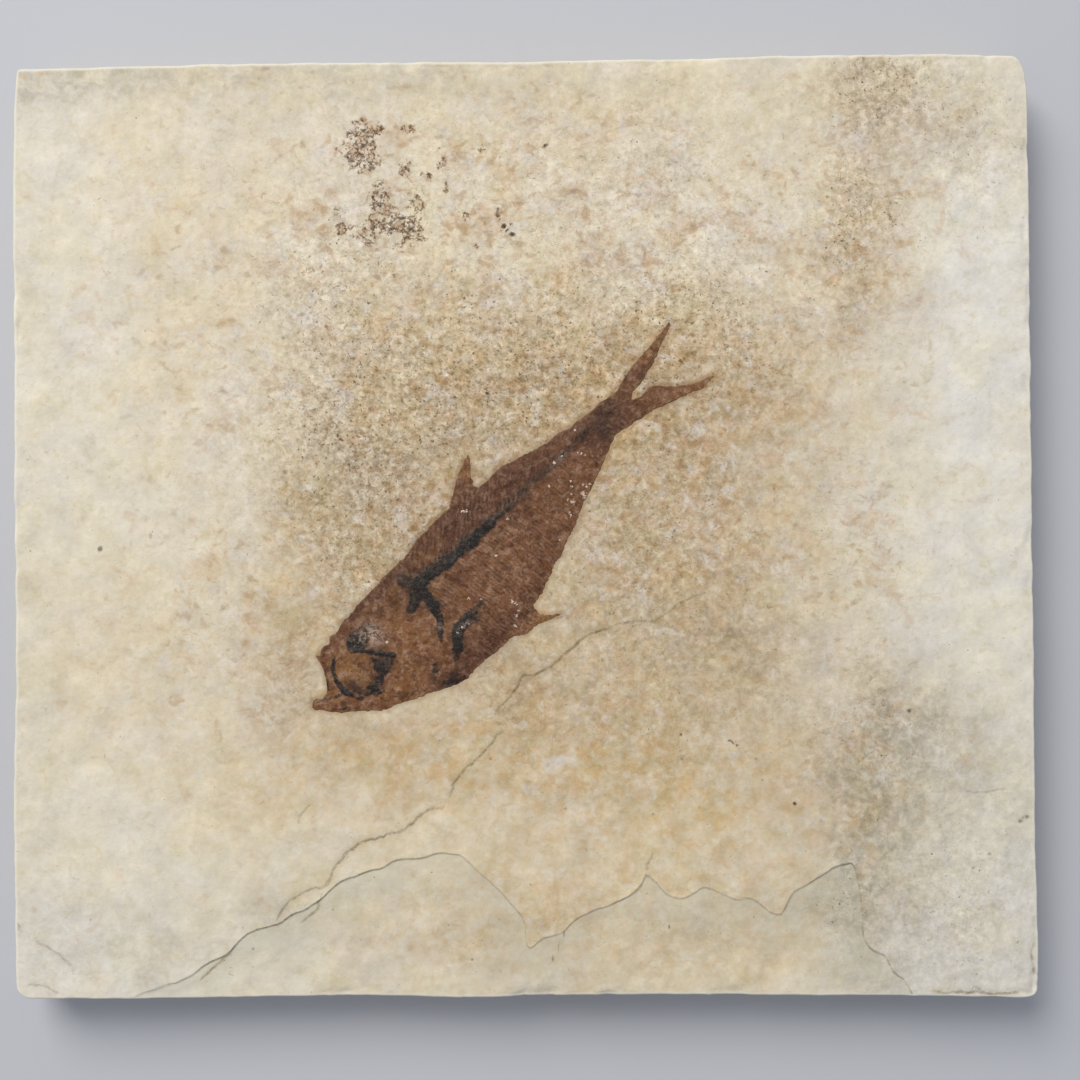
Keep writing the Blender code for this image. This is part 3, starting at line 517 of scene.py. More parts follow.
def lumps(x, y, size, seed):
    """Smooth random heights, -1 to 1: lattice values one size apart, blended with a quintic."""
    gx, gy = x / size, y / size
    ix, iy = np.floor(gx), np.floor(gy)
    u, v = gx - ix, gy - iy
    u = u ** 3 * (u * (6 * u - 15) + 10)
    v = v ** 3 * (v * (6 * v - 15) + 10)
    low = lattice(ix, iy, seed) * (1 - u) + lattice(ix + 1, iy, seed) * u
    high = lattice(ix, iy + 1, seed) * (1 - u) + lattice(ix + 1, iy + 1, seed) * u
    return low * (1 - v) + high * v


def rough(x, y, size, seed, octaves=3, gain=0.5):
    """Lumps on lumps: each octave turned, half the size and gain times the height of the last."""
    total = np.zeros(np.broadcast(x, y).shape)
    for octave in range(octaves):
        turn = 0.7 + octave * 1.3
        u = x * math.cos(turn) - y * math.sin(turn)
        v = x * math.sin(turn) + y * math.cos(turn)
        total += lumps(u, v, size / 2 ** octave, seed + 17 * octave) * gain ** octave
    return total


def nearest_on(x, y, line, closed=False):
    """For each point, the nearest point of a line: (dx, dy, share of the way along it, segment side)."""
    line = np.array(line, float)
    ends = np.roll(line, -1, axis=0) if closed else line[1:]
    starts = line if closed else line[:-1]
    best = np.full(x.shape, 1e9)
    dx, dy, share, side = (np.zeros(x.shape) for _ in range(4))
    for k, (a, b) in enumerate(zip(starts, ends)):
        edge = b - a
        ax, ay = x - a[0], y - a[1]
        u = np.clip((ax * edge[0] + ay * edge[1]) / (edge @ edge), 0, 1)
        ox, oy = ax - u * edge[0], ay - u * edge[1]
        gap = ox * ox + oy * oy
        near = gap < best
        best = np.where(near, gap, best)
        dx, dy = np.where(near, ox, dx), np.where(near, oy, dy)
        share = np.where(near, (k + u) / len(starts), share)
        side = np.where(near, np.sign(edge[0] * ay - edge[1] * ax), side)
    return dx, dy, share, side


def depth_inside(x, y, outline):
    """How far each point is inside a closed outline, and below 0 outside it. Inside is where a ray
    crosses the outline an odd number of times."""
    dx, dy, _, _ = nearest_on(x, y, outline, closed=True)
    crossings = np.zeros(x.shape, bool)
    for a, b in zip(outline, np.roll(outline, -1, axis=0)):
        if a[1] != b[1]:
            spans = (a[1] > y) != (b[1] > y)
            crossings ^= spans & (x < a[0] + (y - a[1]) / (b[1] - a[1]) * (b[0] - a[0]))
    return np.hypot(dx, dy) * np.where(crossings, 1.0, -1.0)


def soft_zone(x, y, ellipses):
    """The joint strength, 0 to 1, of soft ellipses: 1 - the product of (1 - strength · exp(-r²))."""
    clear = np.ones(x.shape)
    for cx, cy, rx, ry, strength in ellipses:
        clear *= 1 - strength * np.exp(-((x - cx) / rx) ** 2 - ((y - cy) / ry) ** 2)
    return 1 - clear


def make_mesh(name, points, faces, attributes):
    """A smooth-shaded mesh object from points in mm, a list of face arrays (each of one corner count),
    and point attributes: (n,) arrays become numbers, (n, 3) arrays become vectors."""
    mesh = bpy.data.meshes.new(name)
    mesh.vertices.add(len(points))
    mesh.vertices.foreach_set("co", (points * MM).astype(np.float32).ravel())
    corners = np.concatenate([block.ravel() for block in faces])
    sizes = np.concatenate([np.full(len(block), block.shape[1]) for block in faces])
    mesh.loops.add(len(corners))
    mesh.loops.foreach_set("vertex_index", corners.astype(np.int32))
    mesh.polygons.add(len(sizes))
    mesh.polygons.foreach_set("loop_start", (np.cumsum(sizes) - sizes).astype(np.int32))
    mesh.update(calc_edges=True)
    if mesh.validate():
        raise RuntimeError(name + " has faces that don't hold together")
    mesh.shade_smooth()
    for label, values in attributes.items():
        kind, field = ("FLOAT", "value") if values.ndim == 1 else ("FLOAT_VECTOR", "vector")
        layer = mesh.attributes.new(label, kind, "POINT")
        layer.data.foreach_set(field, values.astype(np.float32).ravel())
    made = bpy.data.objects.new(name, mesh)
    bpy.context.scene.collection.objects.link(made)
    return made


def to_plate(s, t):
    """Points of the fish's frame on the plate."""
    x = JAW_TIP[0] + s * math.cos(FISH_TILT) - t * math.sin(FISH_TILT)
    y = JAW_TIP[1] + s * math.sin(FISH_TILT) + t * math.cos(FISH_TILT)
    return x, y


def to_fish(x, y):
    """Points of the plate in the fish's frame."""
    dx, dy = x - JAW_TIP[0], y - JAW_TIP[1]
    s = dx * math.cos(FISH_TILT) + dy * math.sin(FISH_TILT)
    t = -dx * math.sin(FISH_TILT) + dy * math.cos(FISH_TILT)
    return s, t


# ---------------------------------------------------------------- the fish's outline

def body_edges(s):
    """The back and the belly at s, the belly with its row of scutes: a saw of about 1 mm teeth."""
    back = curve(BACK_LINE, s) + 0.06 * rough(s, s * 0, 1.6, 5) + 0.05 * lumps(s, s * 0, 0.45, 7)
    belly = curve(BELLY_LINE, s) + 0.05 * rough(s, s * 0, 1.1, 9)
    first, last, pitch = SCUTES
    tooth = (s / pitch) % 1.0
    belly -= 0.12 * tooth * ease(s, first, first + 3) * (1 - ease(s, last - 4, last))
    return back, belly


def body_outline():
    s = np.linspace(0, BODY_END, 260)
    back, belly = body_edges(s)
    return np.concatenate([np.stack([s, belly], axis=1), np.stack([s, back], axis=1)[::-1]])


def fin_edge(line, count):
    """A fin's edge as count points, broken by the ends of its rays."""
    edge = trace(line, count)
    wander = [rough(edge[:, 0], edge[:, 1], 0.9, seed, 2, 0.7) for seed in (191, 193)]
    return edge + 0.07 * np.stack(wander, axis=1)


def fin_outline(leading, trailing):
    return np.concatenate([fin_edge(leading, 60), fin_edge(trailing, 60)[::-1]])


def fish_depth(s, t):
    """How far inside the whole fish each point is: the deepest of the body and the fins."""
    depth = depth_inside(s, t, body_outline())
    for leading, trailing, _ in FINS.values():
        depth = np.maximum(depth, depth_inside(s, t, fin_outline(leading, trailing)))
    return depth


# ---------------------------------------------------------------- the limestone plate

def bedding(x, y, relief):
    """The gentle lumps of the bedding face, shared by the stone and the film on it."""
    return relief * (0.9 * rough(x, y, 13.0, 3, 2, 0.7) + 0.85 * rough(x, y, 3.6, 31, 2, 0.7))


def ledge_offset(x, y):
    """The signed distance to the ledge line: above 0 on the top lamina, below 0 where it has flaked off."""
    line = trace(LEDGE_LINE, 420)
    line[:, 1] += 0.22 * rough(line[:, 0], line[:, 0] * 0, 1.7, 71)
    dx, dy, _, side = nearest_on(x, y, line)
    beyond = (x < line[0, 0]) | (x > line[-1, 0])
    return np.where(beyond, np.hypot(dx, dy), np.hypot(dx, dy) * side)


def crack_offset(x, y):
    """The way to the nearest crack as a vector, with that crack's strength."""
    best = np.full(x.shape, 1e9)
    offset = np.zeros(x.shape + (3,))
    for strength, points in CRACKS:
        line = trace(points, 6 * len(points))
        wander = [rough(line[:, 0], line[:, 1], 1.3, seed, 3, 0.7) for seed in (81, 82)]
        line += 0.2 * np.stack(wander, axis=1)
        dx, dy, share, _ = nearest_on(x, y, line)
        gap = np.hypot(dx, dy)
        fading = strength * np.minimum(1, 6 * np.minimum(share, 1 - share) + 0.35)
        near = gap < best
        best = np.where(near, gap, best)
        offset = np.where(near[..., None], np.stack([dx, dy, fading], axis=-1), offset)
    return offset


def speck_offset(x, y):
    """The way to the nearest speck, in shares of its half width and half height, with its blackness. It
    is exact between mesh points, because it changes evenly across a face."""
    best = np.full(x.shape, 1e9)
    offset = np.zeros(x.shape + (3,))
    for cx, cy, half_width, half_height, blackness in SPECKS:
        dx, dy = (x - cx) / half_width, (y - cy) / half_height
        gap = np.hypot(dx, dy)
        near = gap < best
        best = np.where(near, gap, best)
        offset = np.where(near[..., None], np.stack([dx, dy, dx * 0 + blackness], axis=-1), offset)
    return offset


def spaced(low, high, step, fine_spots):
    """Rising positions from low to high, one step apart, and closer round each fine spot (centre, reach,
    step): the running sum of the local step, evened out. The number of steps is a multiple of 4, because
    the underside takes every fourth point."""
    fine = np.linspace(low, high, 8000)
    local = np.full(fine.shape, step)
    for centre, reach, small in fine_spots:
        local = np.minimum(local, small + (step - small) * ease(np.abs(fine - centre), reach, reach * 2 + 1))
    gone = np.concatenate([[0.0], np.cumsum(np.diff(fine) / local[1:])])
    count = 4 * round(gone[-1] / 4)
    return np.interp(np.linspace(0, gone[-1], count + 1), gone, fine)


def plate_sides(x, y, inset):
    """The left, right, front and back sides at y and at x, moved in by inset."""
    left = curve(LEFT_SIDE, y) + inset + SIDE_CHIPS * rough(y, y * 0, 3.1, 41)
    right = curve(RIGHT_SIDE, y) - inset - SIDE_CHIPS * rough(y, y * 0, 2.6, 43)
    front = curve(FRONT_SIDE, x) + inset + SIDE_CHIPS * 0.7 * rough(x, x * 0, 3.7, 47)
    back = curve(BACK_SIDE, x) - inset - SIDE_CHIPS * rough(x, x * 0, 4.1, 53)
    return left, right, front, back


def plate_grid(inset):
    """x and y of the top face on a grid. Columns run straight across. Rows bend so that one of them
    follows the ledge, with close rows beside it. Near the four sides the grid is drawn on to them. The
    four corners are rounded: in a corner box with sides a and b from 0 to 1, a point moves to
    a·sqrt(1 - b²/2), b·sqrt(1 - a²/2). The steps keep the plate under 200,000 triangles."""
    u = spaced(-78, 78, 0.645, [(-78, 1.2, 0.22), (78, 1.2, 0.22), (0.3, 0.8, 0.14), (51.1, 1.0, 0.16)])
    ledge = np.maximum(np.interp(u, *np.array(LEDGE_LINE).T), LEDGE_ROW_LIMIT)
    below = spaced(0, 21, 0.64, [(0, 1.2, 0.25), (21, 0.5, 0.07)])[:-1] / 21
    above = spaced(0, 125, 0.64, [(0, 0.5, 0.07), (125, 1.2, 0.22)]) / 125
    x = np.repeat(u[None, :], len(below) + len(above), axis=0)
    straight_front, straight_back = curve(FRONT_SIDE, u), curve(BACK_SIDE, u)
    y = rows = np.concatenate([
        straight_front + (ledge - straight_front) * below[:, None],
        ledge + (straight_back - ledge) * above[:, None],
    ])
    for _ in range(2):
        left, right, front, back = plate_sides(x, y, inset)
        x = u + (left + 78) * (1 - ease(u + 78, 0, 12)) + (right - 78) * (1 - ease(78 - u, 0, 12))
        y = (rows + (front - straight_front) * (1 - ease(rows - straight_front, 0, 2.5))
             + (back - straight_back) * (1 - ease(straight_back - rows, 0, 2.5)))
    left, right, front, back = plate_sides(x, y, inset)
    for side_x, side_y, width, height in CORNERS:
        width, height = max(width - inset, 0.1), max(height - inset, 0.1)
        corner_x = (right if side_x > 0 else left) - side_x * width
        corner_y = (back if side_y > 0 else front) - side_y * height
        a = np.clip((x - corner_x) * side_x / width, 0, 1)
        b = np.clip((y - corner_y) * side_y / height, 0, 1)
        x = np.where(b > 0, x - side_x * width * a * (1 - np.sqrt(1 - b * b / 2)), x)
        y = np.where(a > 0, y - side_y * height * b * (1 - np.sqrt(1 - a * a / 2)), y)
    return x, y


def rim_path(rows, columns):
    """The grid indices of the edge of a grid, counter-clockwise from the front left."""
    index = np.arange(rows * columns).reshape(rows, columns)
    return np.concatenate([index[0, :-1], index[:-1, -1], index[-1, :0:-1], index[:0:-1, 0]])


def face_height(x, y, settings):
    """The height of the bedding face: lumps, the ledge, a shallow dip along each crack, chipped arrises,
    and the bed under the fish."""
    depth = settings.ledge_depth / MM * curve(LEDGE_DROP, x)
    ledge = ledge_offset(x, y)
    step = 1 - ease(ledge, -LEDGE_WALL, 0.0)
    rise_away = ease(-ledge, 0.0, 2.2)
    z = TOP + bedding(x, y, settings.relief / MM)
    z -= depth * step * (0.8 + 0.2 * rise_away)
    z += 0.05 * step * rough(x, y, 2.2, 61, 3)
    z += 0.04 * np.exp(-(ledge / 0.5) ** 2) * (ledge > 0)
    crack = crack_offset(x, y)
    gap = np.hypot(crack[..., 0], crack[..., 1])
    z -= CRACK_DEPTH * crack[..., 2] * np.exp(-(gap / CRACK_REACH) ** 2)
    left, right, front, back = plate_sides(x, y, 0.0)
    edge = np.minimum(np.minimum(x - left, right - x), np.minimum(y - front, back - y))
    chip = ease(rough(x, y, 4.3, 91, 3), 0.35, 1.1)
    z -= 0.35 * chip * (1 - ease(edge, 0.3, 1.8))
    return z, ledge, crack


def limestone_plate(settings):
    """The plate as one closed skin: the bedding face, a quarter-round arris, layered sides, and the
    underside."""
    arris = settings.arris / MM
    x, y = plate_grid(arris)
    rows, columns = x.shape
    s, t = to_fish(x, y)
    near_fish = (s > -25) & (s < 105) & (np.abs(t) < 45)
    depth = np.full(x.shape, -40.0)
    depth[near_fish] = fish_depth(s[near_fish], t[near_fish])
    z, ledge, crack = face_height(x, y, settings)
    z -= FISH_BED * ease(depth, 0.5, 1.3)
    points = [np.stack([x, y, z], axis=-1).reshape(-1, 3)]

    rim = rim_path(rows, columns)
    loop = points[0][rim]
    tangent = np.roll(loop, -1, axis=0) - np.roll(loop, 1, axis=0)
    outward = np.stack([tangent[:, 1], -tangent[:, 0]], axis=1)
    outward /= np.linalg.norm(outward, axis=1, keepdims=True)
    gone = np.cumsum(np.linalg.norm(np.diff(loop[:, :2], axis=0, append=loop[:1, :2]), axis=1))

    # Each ring is the rim moved out and down: the arris as a quarter circle, then the side, then a small
    # quarter circle under it. On the side, layers 0.5 to 1.5 mm thick stand in and out.
    low_arris = 0.3
    turns = np.radians([25, 50, 75, 90])
    rings = [(arris * math.sin(turn), arris * (1 - math.cos(turn)), 0.0) for turn in turns]
    side_top, side_low = TOP - arris, low_arris
    drops = TOP - np.linspace(side_top, side_low, 10)[1:]
    rings += [(arris, drop, 1.0) for drop in drops]
    rings += [(arris - low_arris * (1 - math.cos(turn)), TOP - low_arris * (1 - math.sin(turn)), 0.0)
              for turn in np.radians([45, 90])]
    ring_start = len(points[0])
    skirt = []
    for out, drop, layered in rings:
        height = loop[:, 2] + (TOP - loop[:, 2]) * ease(drop, 0.5, 3.0) - drop
        bedded = rough(gone, np.full(gone.shape, drop * 9.0), 7.0, 101, 4, 0.6)
        sawn = lumps(gone, gone * 0 + drop * 2, 0.9, 103)
        push = out + layered * (0.06 * bedded + 0.02 * sawn)
        skirt.append(np.column_stack([loop[:, :2] + outward * push[:, None], np.maximum(height, 0.0)]))
    points += skirt
    count = len(rim)
    index = np.arange(rows * columns).reshape(rows, columns)
    top = np.stack([index[:-1, :-1], index[:-1, 1:], index[1:, 1:], index[1:, :-1]], axis=-1).reshape(-1, 4)
    bands = [rim] + [ring_start + k * count + np.arange(count) for k in range(len(rings))]
    sides = [np.stack([low, np.roll(low, -1), np.roll(high, -1), high], axis=1)
             for high, low in zip(bands, bands[1:])]

    # The underside: every fourth point of the grid, drawn in a little, and five-to-one fans to the last ring.
    under_start = ring_start + len(rings) * count
    under_x, under_y = x[::4, ::4] * 0.985, y[::4, ::4] * 0.985
    hollow = 0.16 * (0.6 + 0.4 * rough(under_x, under_y, 9.0, 111, 3))
    under_rows, under_columns = under_x.shape
    points.append(np.stack([under_x, under_y, np.maximum(hollow, 0.02)], axis=-1).reshape(-1, 3))
    under = under_start + np.arange(under_x.size).reshape(under_rows, under_columns)
    under_faces = np.stack([under[:-1, :-1], under[1:, :-1], under[1:, 1:], under[:-1, 1:]], axis=-1)
    inner = under_start + rim_path(under_rows, under_columns)
    outer = bands[-1].reshape(-1, 4)
    after = np.roll(outer[:, 0], -1)
    fans = np.concatenate(
        [inner[:, None], np.roll(inner, -1)[:, None], after[:, None], outer[:, ::-1]], axis=1)

    places = np.concatenate(points)
    px, py = places[:, 0], places[:, 1]
    skirt_size = len(places) - rows * columns
    warp_x = px + 2.2 * rough(px, py, 6.0, 121)
    warp_y = py + 2.2 * rough(px, py, 6.0, 123)
    attributes = {name: soft_zone(warp_x, warp_y, zone) for name, zone in ZONES.items() if name != "dendrite"}
    attributes["dendrite"] = soft_zone(px, py, ZONES["dendrite"])
    attributes["ledge_shade_and_dirt"] = curve(LEDGE_SHADE_AND_DIRT, px)
    attributes["ledge"] = np.concatenate([ledge.ravel(), np.full(skirt_size, 9.0)])
    attributes["fish_gap"] = np.concatenate([-depth.ravel(), np.full(skirt_size, 40.0)])
    attributes["crack"] = np.concatenate([crack.reshape(-1, 3), np.tile([9.0, 9.0, 0.0], (skirt_size, 1))])
    attributes["speck"] = np.concatenate([
        speck_offset(x, y).reshape(-1, 3), np.tile([9.0, 9.0, 0.0], (skirt_size, 1))])
    cut = np.concatenate([np.zeros(rows * columns)] + [
        np.full(count, float(ease(drop, 0.1, 0.9))) for _, drop, _ in rings] + [np.full(under_x.size, 1.0)])
    attributes["cut"] = cut
    # The rim row and the arris rings carry the pale edge: worn stone and a painted highlight.
    worn = np.concatenate([np.zeros(rows * columns)] + [
        np.full(count, float(drop < arris + 0.01)) for _, drop, _ in rings] + [np.zeros(under_x.size)])
    worn[rim] = 1.0
    attributes["worn"] = worn
    return make_mesh("limestone_plate", places, [top, *sides, under_faces.reshape(-1, 4), fans], attributes)


# ---------------------------------------------------------------- the fish

def bone_field(s, t):
    """For each point: how black it is (0 to 1 over a soft edge 0.7 mm wide) and how high the bones stand.
    A bone is the band round its line, with half widths that run from start to middle to end and waver by
    a third."""
    black, height = np.zeros(s.shape), np.zeros(s.shape)
    for widths, tall, strength, points in BLACK_BONES.values():
        line = trace(points, 8 * len(points))
        low, high = line.min(axis=0) - 2, line.max(axis=0) + 2
        near = (s > low[0]) & (s < high[0]) & (t > low[1]) & (t < high[1])
        dx, dy, share, _ = nearest_on(s[near], t[near], line)
        half = np.interp(share, (0.0, 0.5, 1.0), widths)
        half = half * (1 + 0.34 * rough(s[near], t[near], 1.3, 131))
        inside = half - np.hypot(dx, dy)
        inked = np.interp(share, (0.0, 0.5, 1.0), strength)
        black[near] = np.maximum(black[near], inked * ease(inside, -0.4, 0.3))
        height[near] = np.maximum(height[near], tall * ease(inside, -0.15, 0.5))
    return black, height


def eye_relief(s, t):
    """The eyeball: a low dome inside a shallow trough."""
    gap = np.hypot((s - 9.2) / 2.9, (t - 0.3) / 3.2)
    return 0.13 * np.sqrt(np.clip(1 - gap ** 2, 0, 1)) - 0.05 * np.exp(-((gap - 1.15) / 0.18) ** 2)


def flake_field(s, t):
    """The pale flecks: 1 in the middle of each, a half at about its radius, and 0 at 1.6 times its radius."""
    pale = np.zeros(s.shape)
    for cs, ct, radius in FLAKES:
        pale = np.maximum(pale, 1 - ease(np.hypot(s - cs, t - ct) / radius, 0.2, 1.6))
    return pale


def film_height(s, t, depth, share, settings):
    """The film over the stone: it comes up out of the stone within 0.25 mm of its ragged edge, and domes
    towards the backbone as sqrt(1 - share²)."""
    ragged = 0.09 * rough(s, t, 0.6, 151, 2, 0.7)
    edge = ease(depth + ragged, -0.02, 0.26)
    dome = settings.dome / MM * np.sqrt(np.clip(1 - share ** 2, 0, 1))
    dome = dome * (1 - ease(s, TAIL_ROOT - 8, BODY_END))
    return -0.14 + 0.2 * edge + dome * ease(depth, 0.0, 2.0)


def fish_attributes(s, t, depth, streak, stubs, weave):
    """Everything the film's finish reads, per point."""
    black, _ = bone_field(s, t)
    values = {name: soft_zone(s, t, zone) for name, zone in FISH_ZONES.items()}
    values.update(
        black=np.maximum(black, stubs), flake=flake_field(s, t), rim=depth, streak=streak, weave=weave)
    values["ribbed"] = ease(s, 21, 26) * (1 - 0.6 * ease(s, 38, 46))
    return values


def body_surface(settings):
    """The body on a grid. Columns cross the body: in the trunk each leans towards the tail on both sides
    of the backbone, as a spine and a rib do, and the belly half bows as sin(share·90°). Rows run from
    back to belly, closer together at the edges. Ribs and spines are waves across the columns."""
    skull = np.linspace(0.0, SKULL_END, 170)
    trunk_part = np.linspace(SKULL_END, BODY_END, 350)
    middle_s = np.concatenate([skull, trunk_part[1:]])
    middle_t = curve(BACKBONE_LINE, middle_s)
    trunk = ease(middle_s, SKULL_END - 5, SKULL_END + 3) * (1 - ease(middle_s, TAIL_ROOT, BODY_END - 2))
    back_s = middle_s + SPINE_LEAN * trunk * (curve(BACK_LINE, middle_s) - middle_t)
    belly_s = middle_s + RIB_LEAN * trunk * (middle_t - curve(BELLY_LINE, middle_s))
    back_s, belly_s = np.minimum(back_s, BODY_END), np.minimum(belly_s, BODY_END)
    ends = [(back_s, body_edges(back_s)[0], 46, -1), (belly_s, body_edges(belly_s)[1], 82, 1)]
    halves = []
    for end_s, end_t, count, side in ends:
        reach = np.hypot(end_s - middle_s, end_t - middle_t)
        tight = np.array([0.0, 0.07, 0.14, 0.22, 0.32, 0.46, 0.66])
        inner = reach[:, None] - np.minimum(1, reach / 2.5)[:, None] * 0.9
        steps = np.linspace(0, 1, count - len(tight) + 1)
        along = np.concatenate([
            inner * steps, reach[:, None] - np.minimum(1, reach / 2.5)[:, None] * tight[::-1]], axis=1)
        share = along / np.maximum(reach, 0.05)[:, None]
        bend = np.sin(share * math.pi / 2) if side > 0 else share
        s = middle_s[:, None] + (end_s - middle_s)[:, None] * bend
        t = middle_t[:, None] + (end_t - middle_t)[:, None] * share
        halves.append((s, t, side * share))
    s, t, share = (np.concatenate([up[:, :0:-1], down], axis=1) for up, down in zip(*halves))

    depth = fish_depth(s, t)
    column = middle_s[:, None] + 0.0 * s
    wander = 0.30 * rough(s, t, 2.4, 161, 2) + 0.12 * lumps(s, t, 0.8, 163)
    pitch = np.where(share < 0, VERTEBRA, RIB_SPACING)
    wave = np.cos(2 * math.pi * (column / pitch + wander))
    ribbed = (trunk[:, None] * ease(np.abs(share), 0.04, 0.16)
              * (1 - 0.55 * ease(s, 40, 56)) * (0.55 + 0.45 * rough(s, t, 1.7, 165)))
    scaled = rough(s * 0.8, t, 0.62, 167, 2, 0.6) * ease(s, 34, 46)
    streak = np.clip(wave * ribbed + 0.6 * scaled, -1, 1)
    skull_share = 1 - ease(s, SKULL_END - 3, SKULL_END + 2)
    bone = bone_field(s, t)[1]
    beads = 0.5 + 0.5 * np.cos(2 * math.pi * column / VERTEBRA)
    z = film_height(s, t, depth, share, settings)
    inside = ease(depth, 0.1, 0.9)
    z += settings.rib_height / MM * streak * inside * 0.5
    z += 0.03 * rough(s, t, 1.5, 177, 3, 0.6) * inside
    z += bone * (1 - 0.25 * beads * (s > 25) * (t > 0))
    z += eye_relief(s, t) + skull_share * 0.035 * rough(s, t, 1.8, 171, 3) * inside
    z += 0.02 * rough(s, t, 0.45, 173, 2) * inside
    along = share * np.hypot(s - middle_s[:, None], t - middle_t[:, None]) / np.maximum(np.abs(share), 0.01)
    stubs = (ease(np.cos(2 * math.pi * (column / VERTEBRA + 0.7 * wander)), -0.7, 0.9)
             * (1 - ease(-along + 0.5 * lumps(s, t, 1.2, 179), 0.7, 2.6)) * (share < 0)
             * ease(column, 25.0, 28.0) * (1 - ease(column, 44.0, 50.0)) * 0.8)
    weave = np.stack([column + wander, along, 0 * s], axis=-1)
    return s, t, z, depth, streak, stubs, weave


def closed_loft(s, t, z, settings, start):
    """A grid of rings as a closed solid: its base runs straight from side to side, sunk in the stone, and
    an end face closes each end. Returns its points and faces. The faces point out on either lie of the
    grid: the sum of along x across, the area that the grid covers, tells whether its rows run to the left
    or the right."""
    x, y = to_plate(s, t)
    height = TOP + bedding(x, y, settings.relief / MM) + z
    base = np.full((len(s), 1), TOP - FILM_SINK)
    rings = np.stack([
        np.concatenate([x, x[:, -1:], x[:, :1]], axis=1),
        np.concatenate([y, y[:, -1:], y[:, :1]], axis=1),
        np.concatenate([height, base, base], axis=1),
    ], axis=-1)
    count, around = rings.shape[:2]
    index = start + np.arange(count * around).reshape(count, around)
    quads = np.stack([index[:-1], np.roll(index, -1, axis=1)[:-1],
                      np.roll(index, -1, axis=1)[1:], index[1:]], axis=-1).reshape(-1, 4)
    faces = [quads[:, ::-1], index[:1], index[-1:, ::-1]]
    along, across = np.gradient(rings[:, :-2, :2], axis=(0, 1))
    if np.sum(along[..., 0] * across[..., 1] - along[..., 1] * across[..., 0]) < 0:
        faces = [corners[:, ::-1] for corners in faces]
    return rings.reshape(-1, 3), faces


def widen(values):
    """Per-point values of a loft's top, with those of its edges repeated for the base."""
    wide = np.concatenate([values, values[:, -1:], values[:, :1]], axis=1)
    return wide.reshape(-1, *values.shape[2:])


def fin_surface(leading, trailing, rays, settings):
    """A fin on a grid: u from root to tip, v from leading to trailing edge. Rays are waves across v that fork
    towards the tip, over a film that sinks under the body at the root."""
    u, v = np.linspace(0, 1, 90), np.linspace(0, 1, 40)
    v = 0.5 - 0.5 * np.cos(v * math.pi) * (1 - 0.12 * np.sin(v * math.pi))
    front, rear = fin_edge(leading, len(u)), fin_edge(trailing, len(u))
    s = front[:, :1] + (rear[:, :1] - front[:, :1]) * v
    t = front[:, 1:] + (rear[:, 1:] - front[:, 1:]) * v
    depth = fish_depth(s, t)
    in_body = depth_inside(s, t, body_outline())
    ray = np.cos(2 * math.pi * rays * v[None, :] + 0.5 * lumps(s, t, 1.5, 181))
    jointed = 0.7 + 0.3 * lumps(u[:, None] * 26 + 0 * s, v[None, :] * rays + 0 * s, 1.0, 183)
    streak = ray * jointed
    z = film_height(s, t, depth, np.ones(s.shape), settings)
    z += 0.5 * settings.rib_height / MM * streak * ease(depth, 0.05, 0.4)
    z -= 0.12 * ease(in_body, 0.1, 0.4)
    weave = np.stack([v * rays * RIB_SPACING + 0 * s, u[:, None] * 12 + 0 * s, 5 + 0 * s], axis=-1)
    return s, t, z, depth, streak * 0.5, 0 * s, weave


def fish_film(settings, plate_settings):
    """The whole fish as one mesh: the body's solid and a solid for each fin, rooted in it."""
    surfaces = [body_surface(settings)]
    surfaces += [fin_surface(*fin, settings) for fin in FINS.values()]
    points, faces, attributes = [], [], {}
    start = 0
    for s, t, z, *marks in surfaces:
        loft, loft_faces = closed_loft(s, t, z, plate_settings, start)
        start += len(loft)
        points.append(loft)
        faces += loft_faces
        for name, values in fish_attributes(s, t, *marks).items():
            attributes.setdefault(name, []).append(widen(values))
    joined = {name: np.concatenate(parts) for name, parts in attributes.items()}
    return make_mesh("fish_film", np.concatenate(points), faces, joined)


# ---------------------------------------------------------------- finishes

def add(tree, kind, inputs=None, **settings):
    """Adds a node. Its settings are set, and each input gets a value, a socket, or a node's first output."""
    node = tree.nodes.new(kind)
    for name, value in settings.items():
        setattr(node, name, value)
    for name, value in (inputs or {}).items():
        if isinstance(value, bpy.types.Node):
            value = value.outputs[0]
        if isinstance(value, bpy.types.NodeSocket):
            tree.links.new(value, node.inputs[name])
        else:
            node.inputs[name].default_value = value
    return node


def new_finish(name):
    """An empty material with its tree, and where its patterns read their place: object space in mm."""
    made = bpy.data.materials.new(name)
    made.use_nodes = True
    tree = made.node_tree
    tree.nodes.clear()
    place = add(tree, "ShaderNodeTexCoord").outputs["Object"]
    return made, tree, add(tree, "ShaderNodeMapping", {"Vector": place, "Scale": (1 / MM, 1 / MM, 1 / MM)})


def carried(tree, names):
    """The numbers that the mesh carries, by name."""
    return {name: add(tree, "ShaderNodeAttribute", attribute_name=name).outputs["Fac"] for name in names}


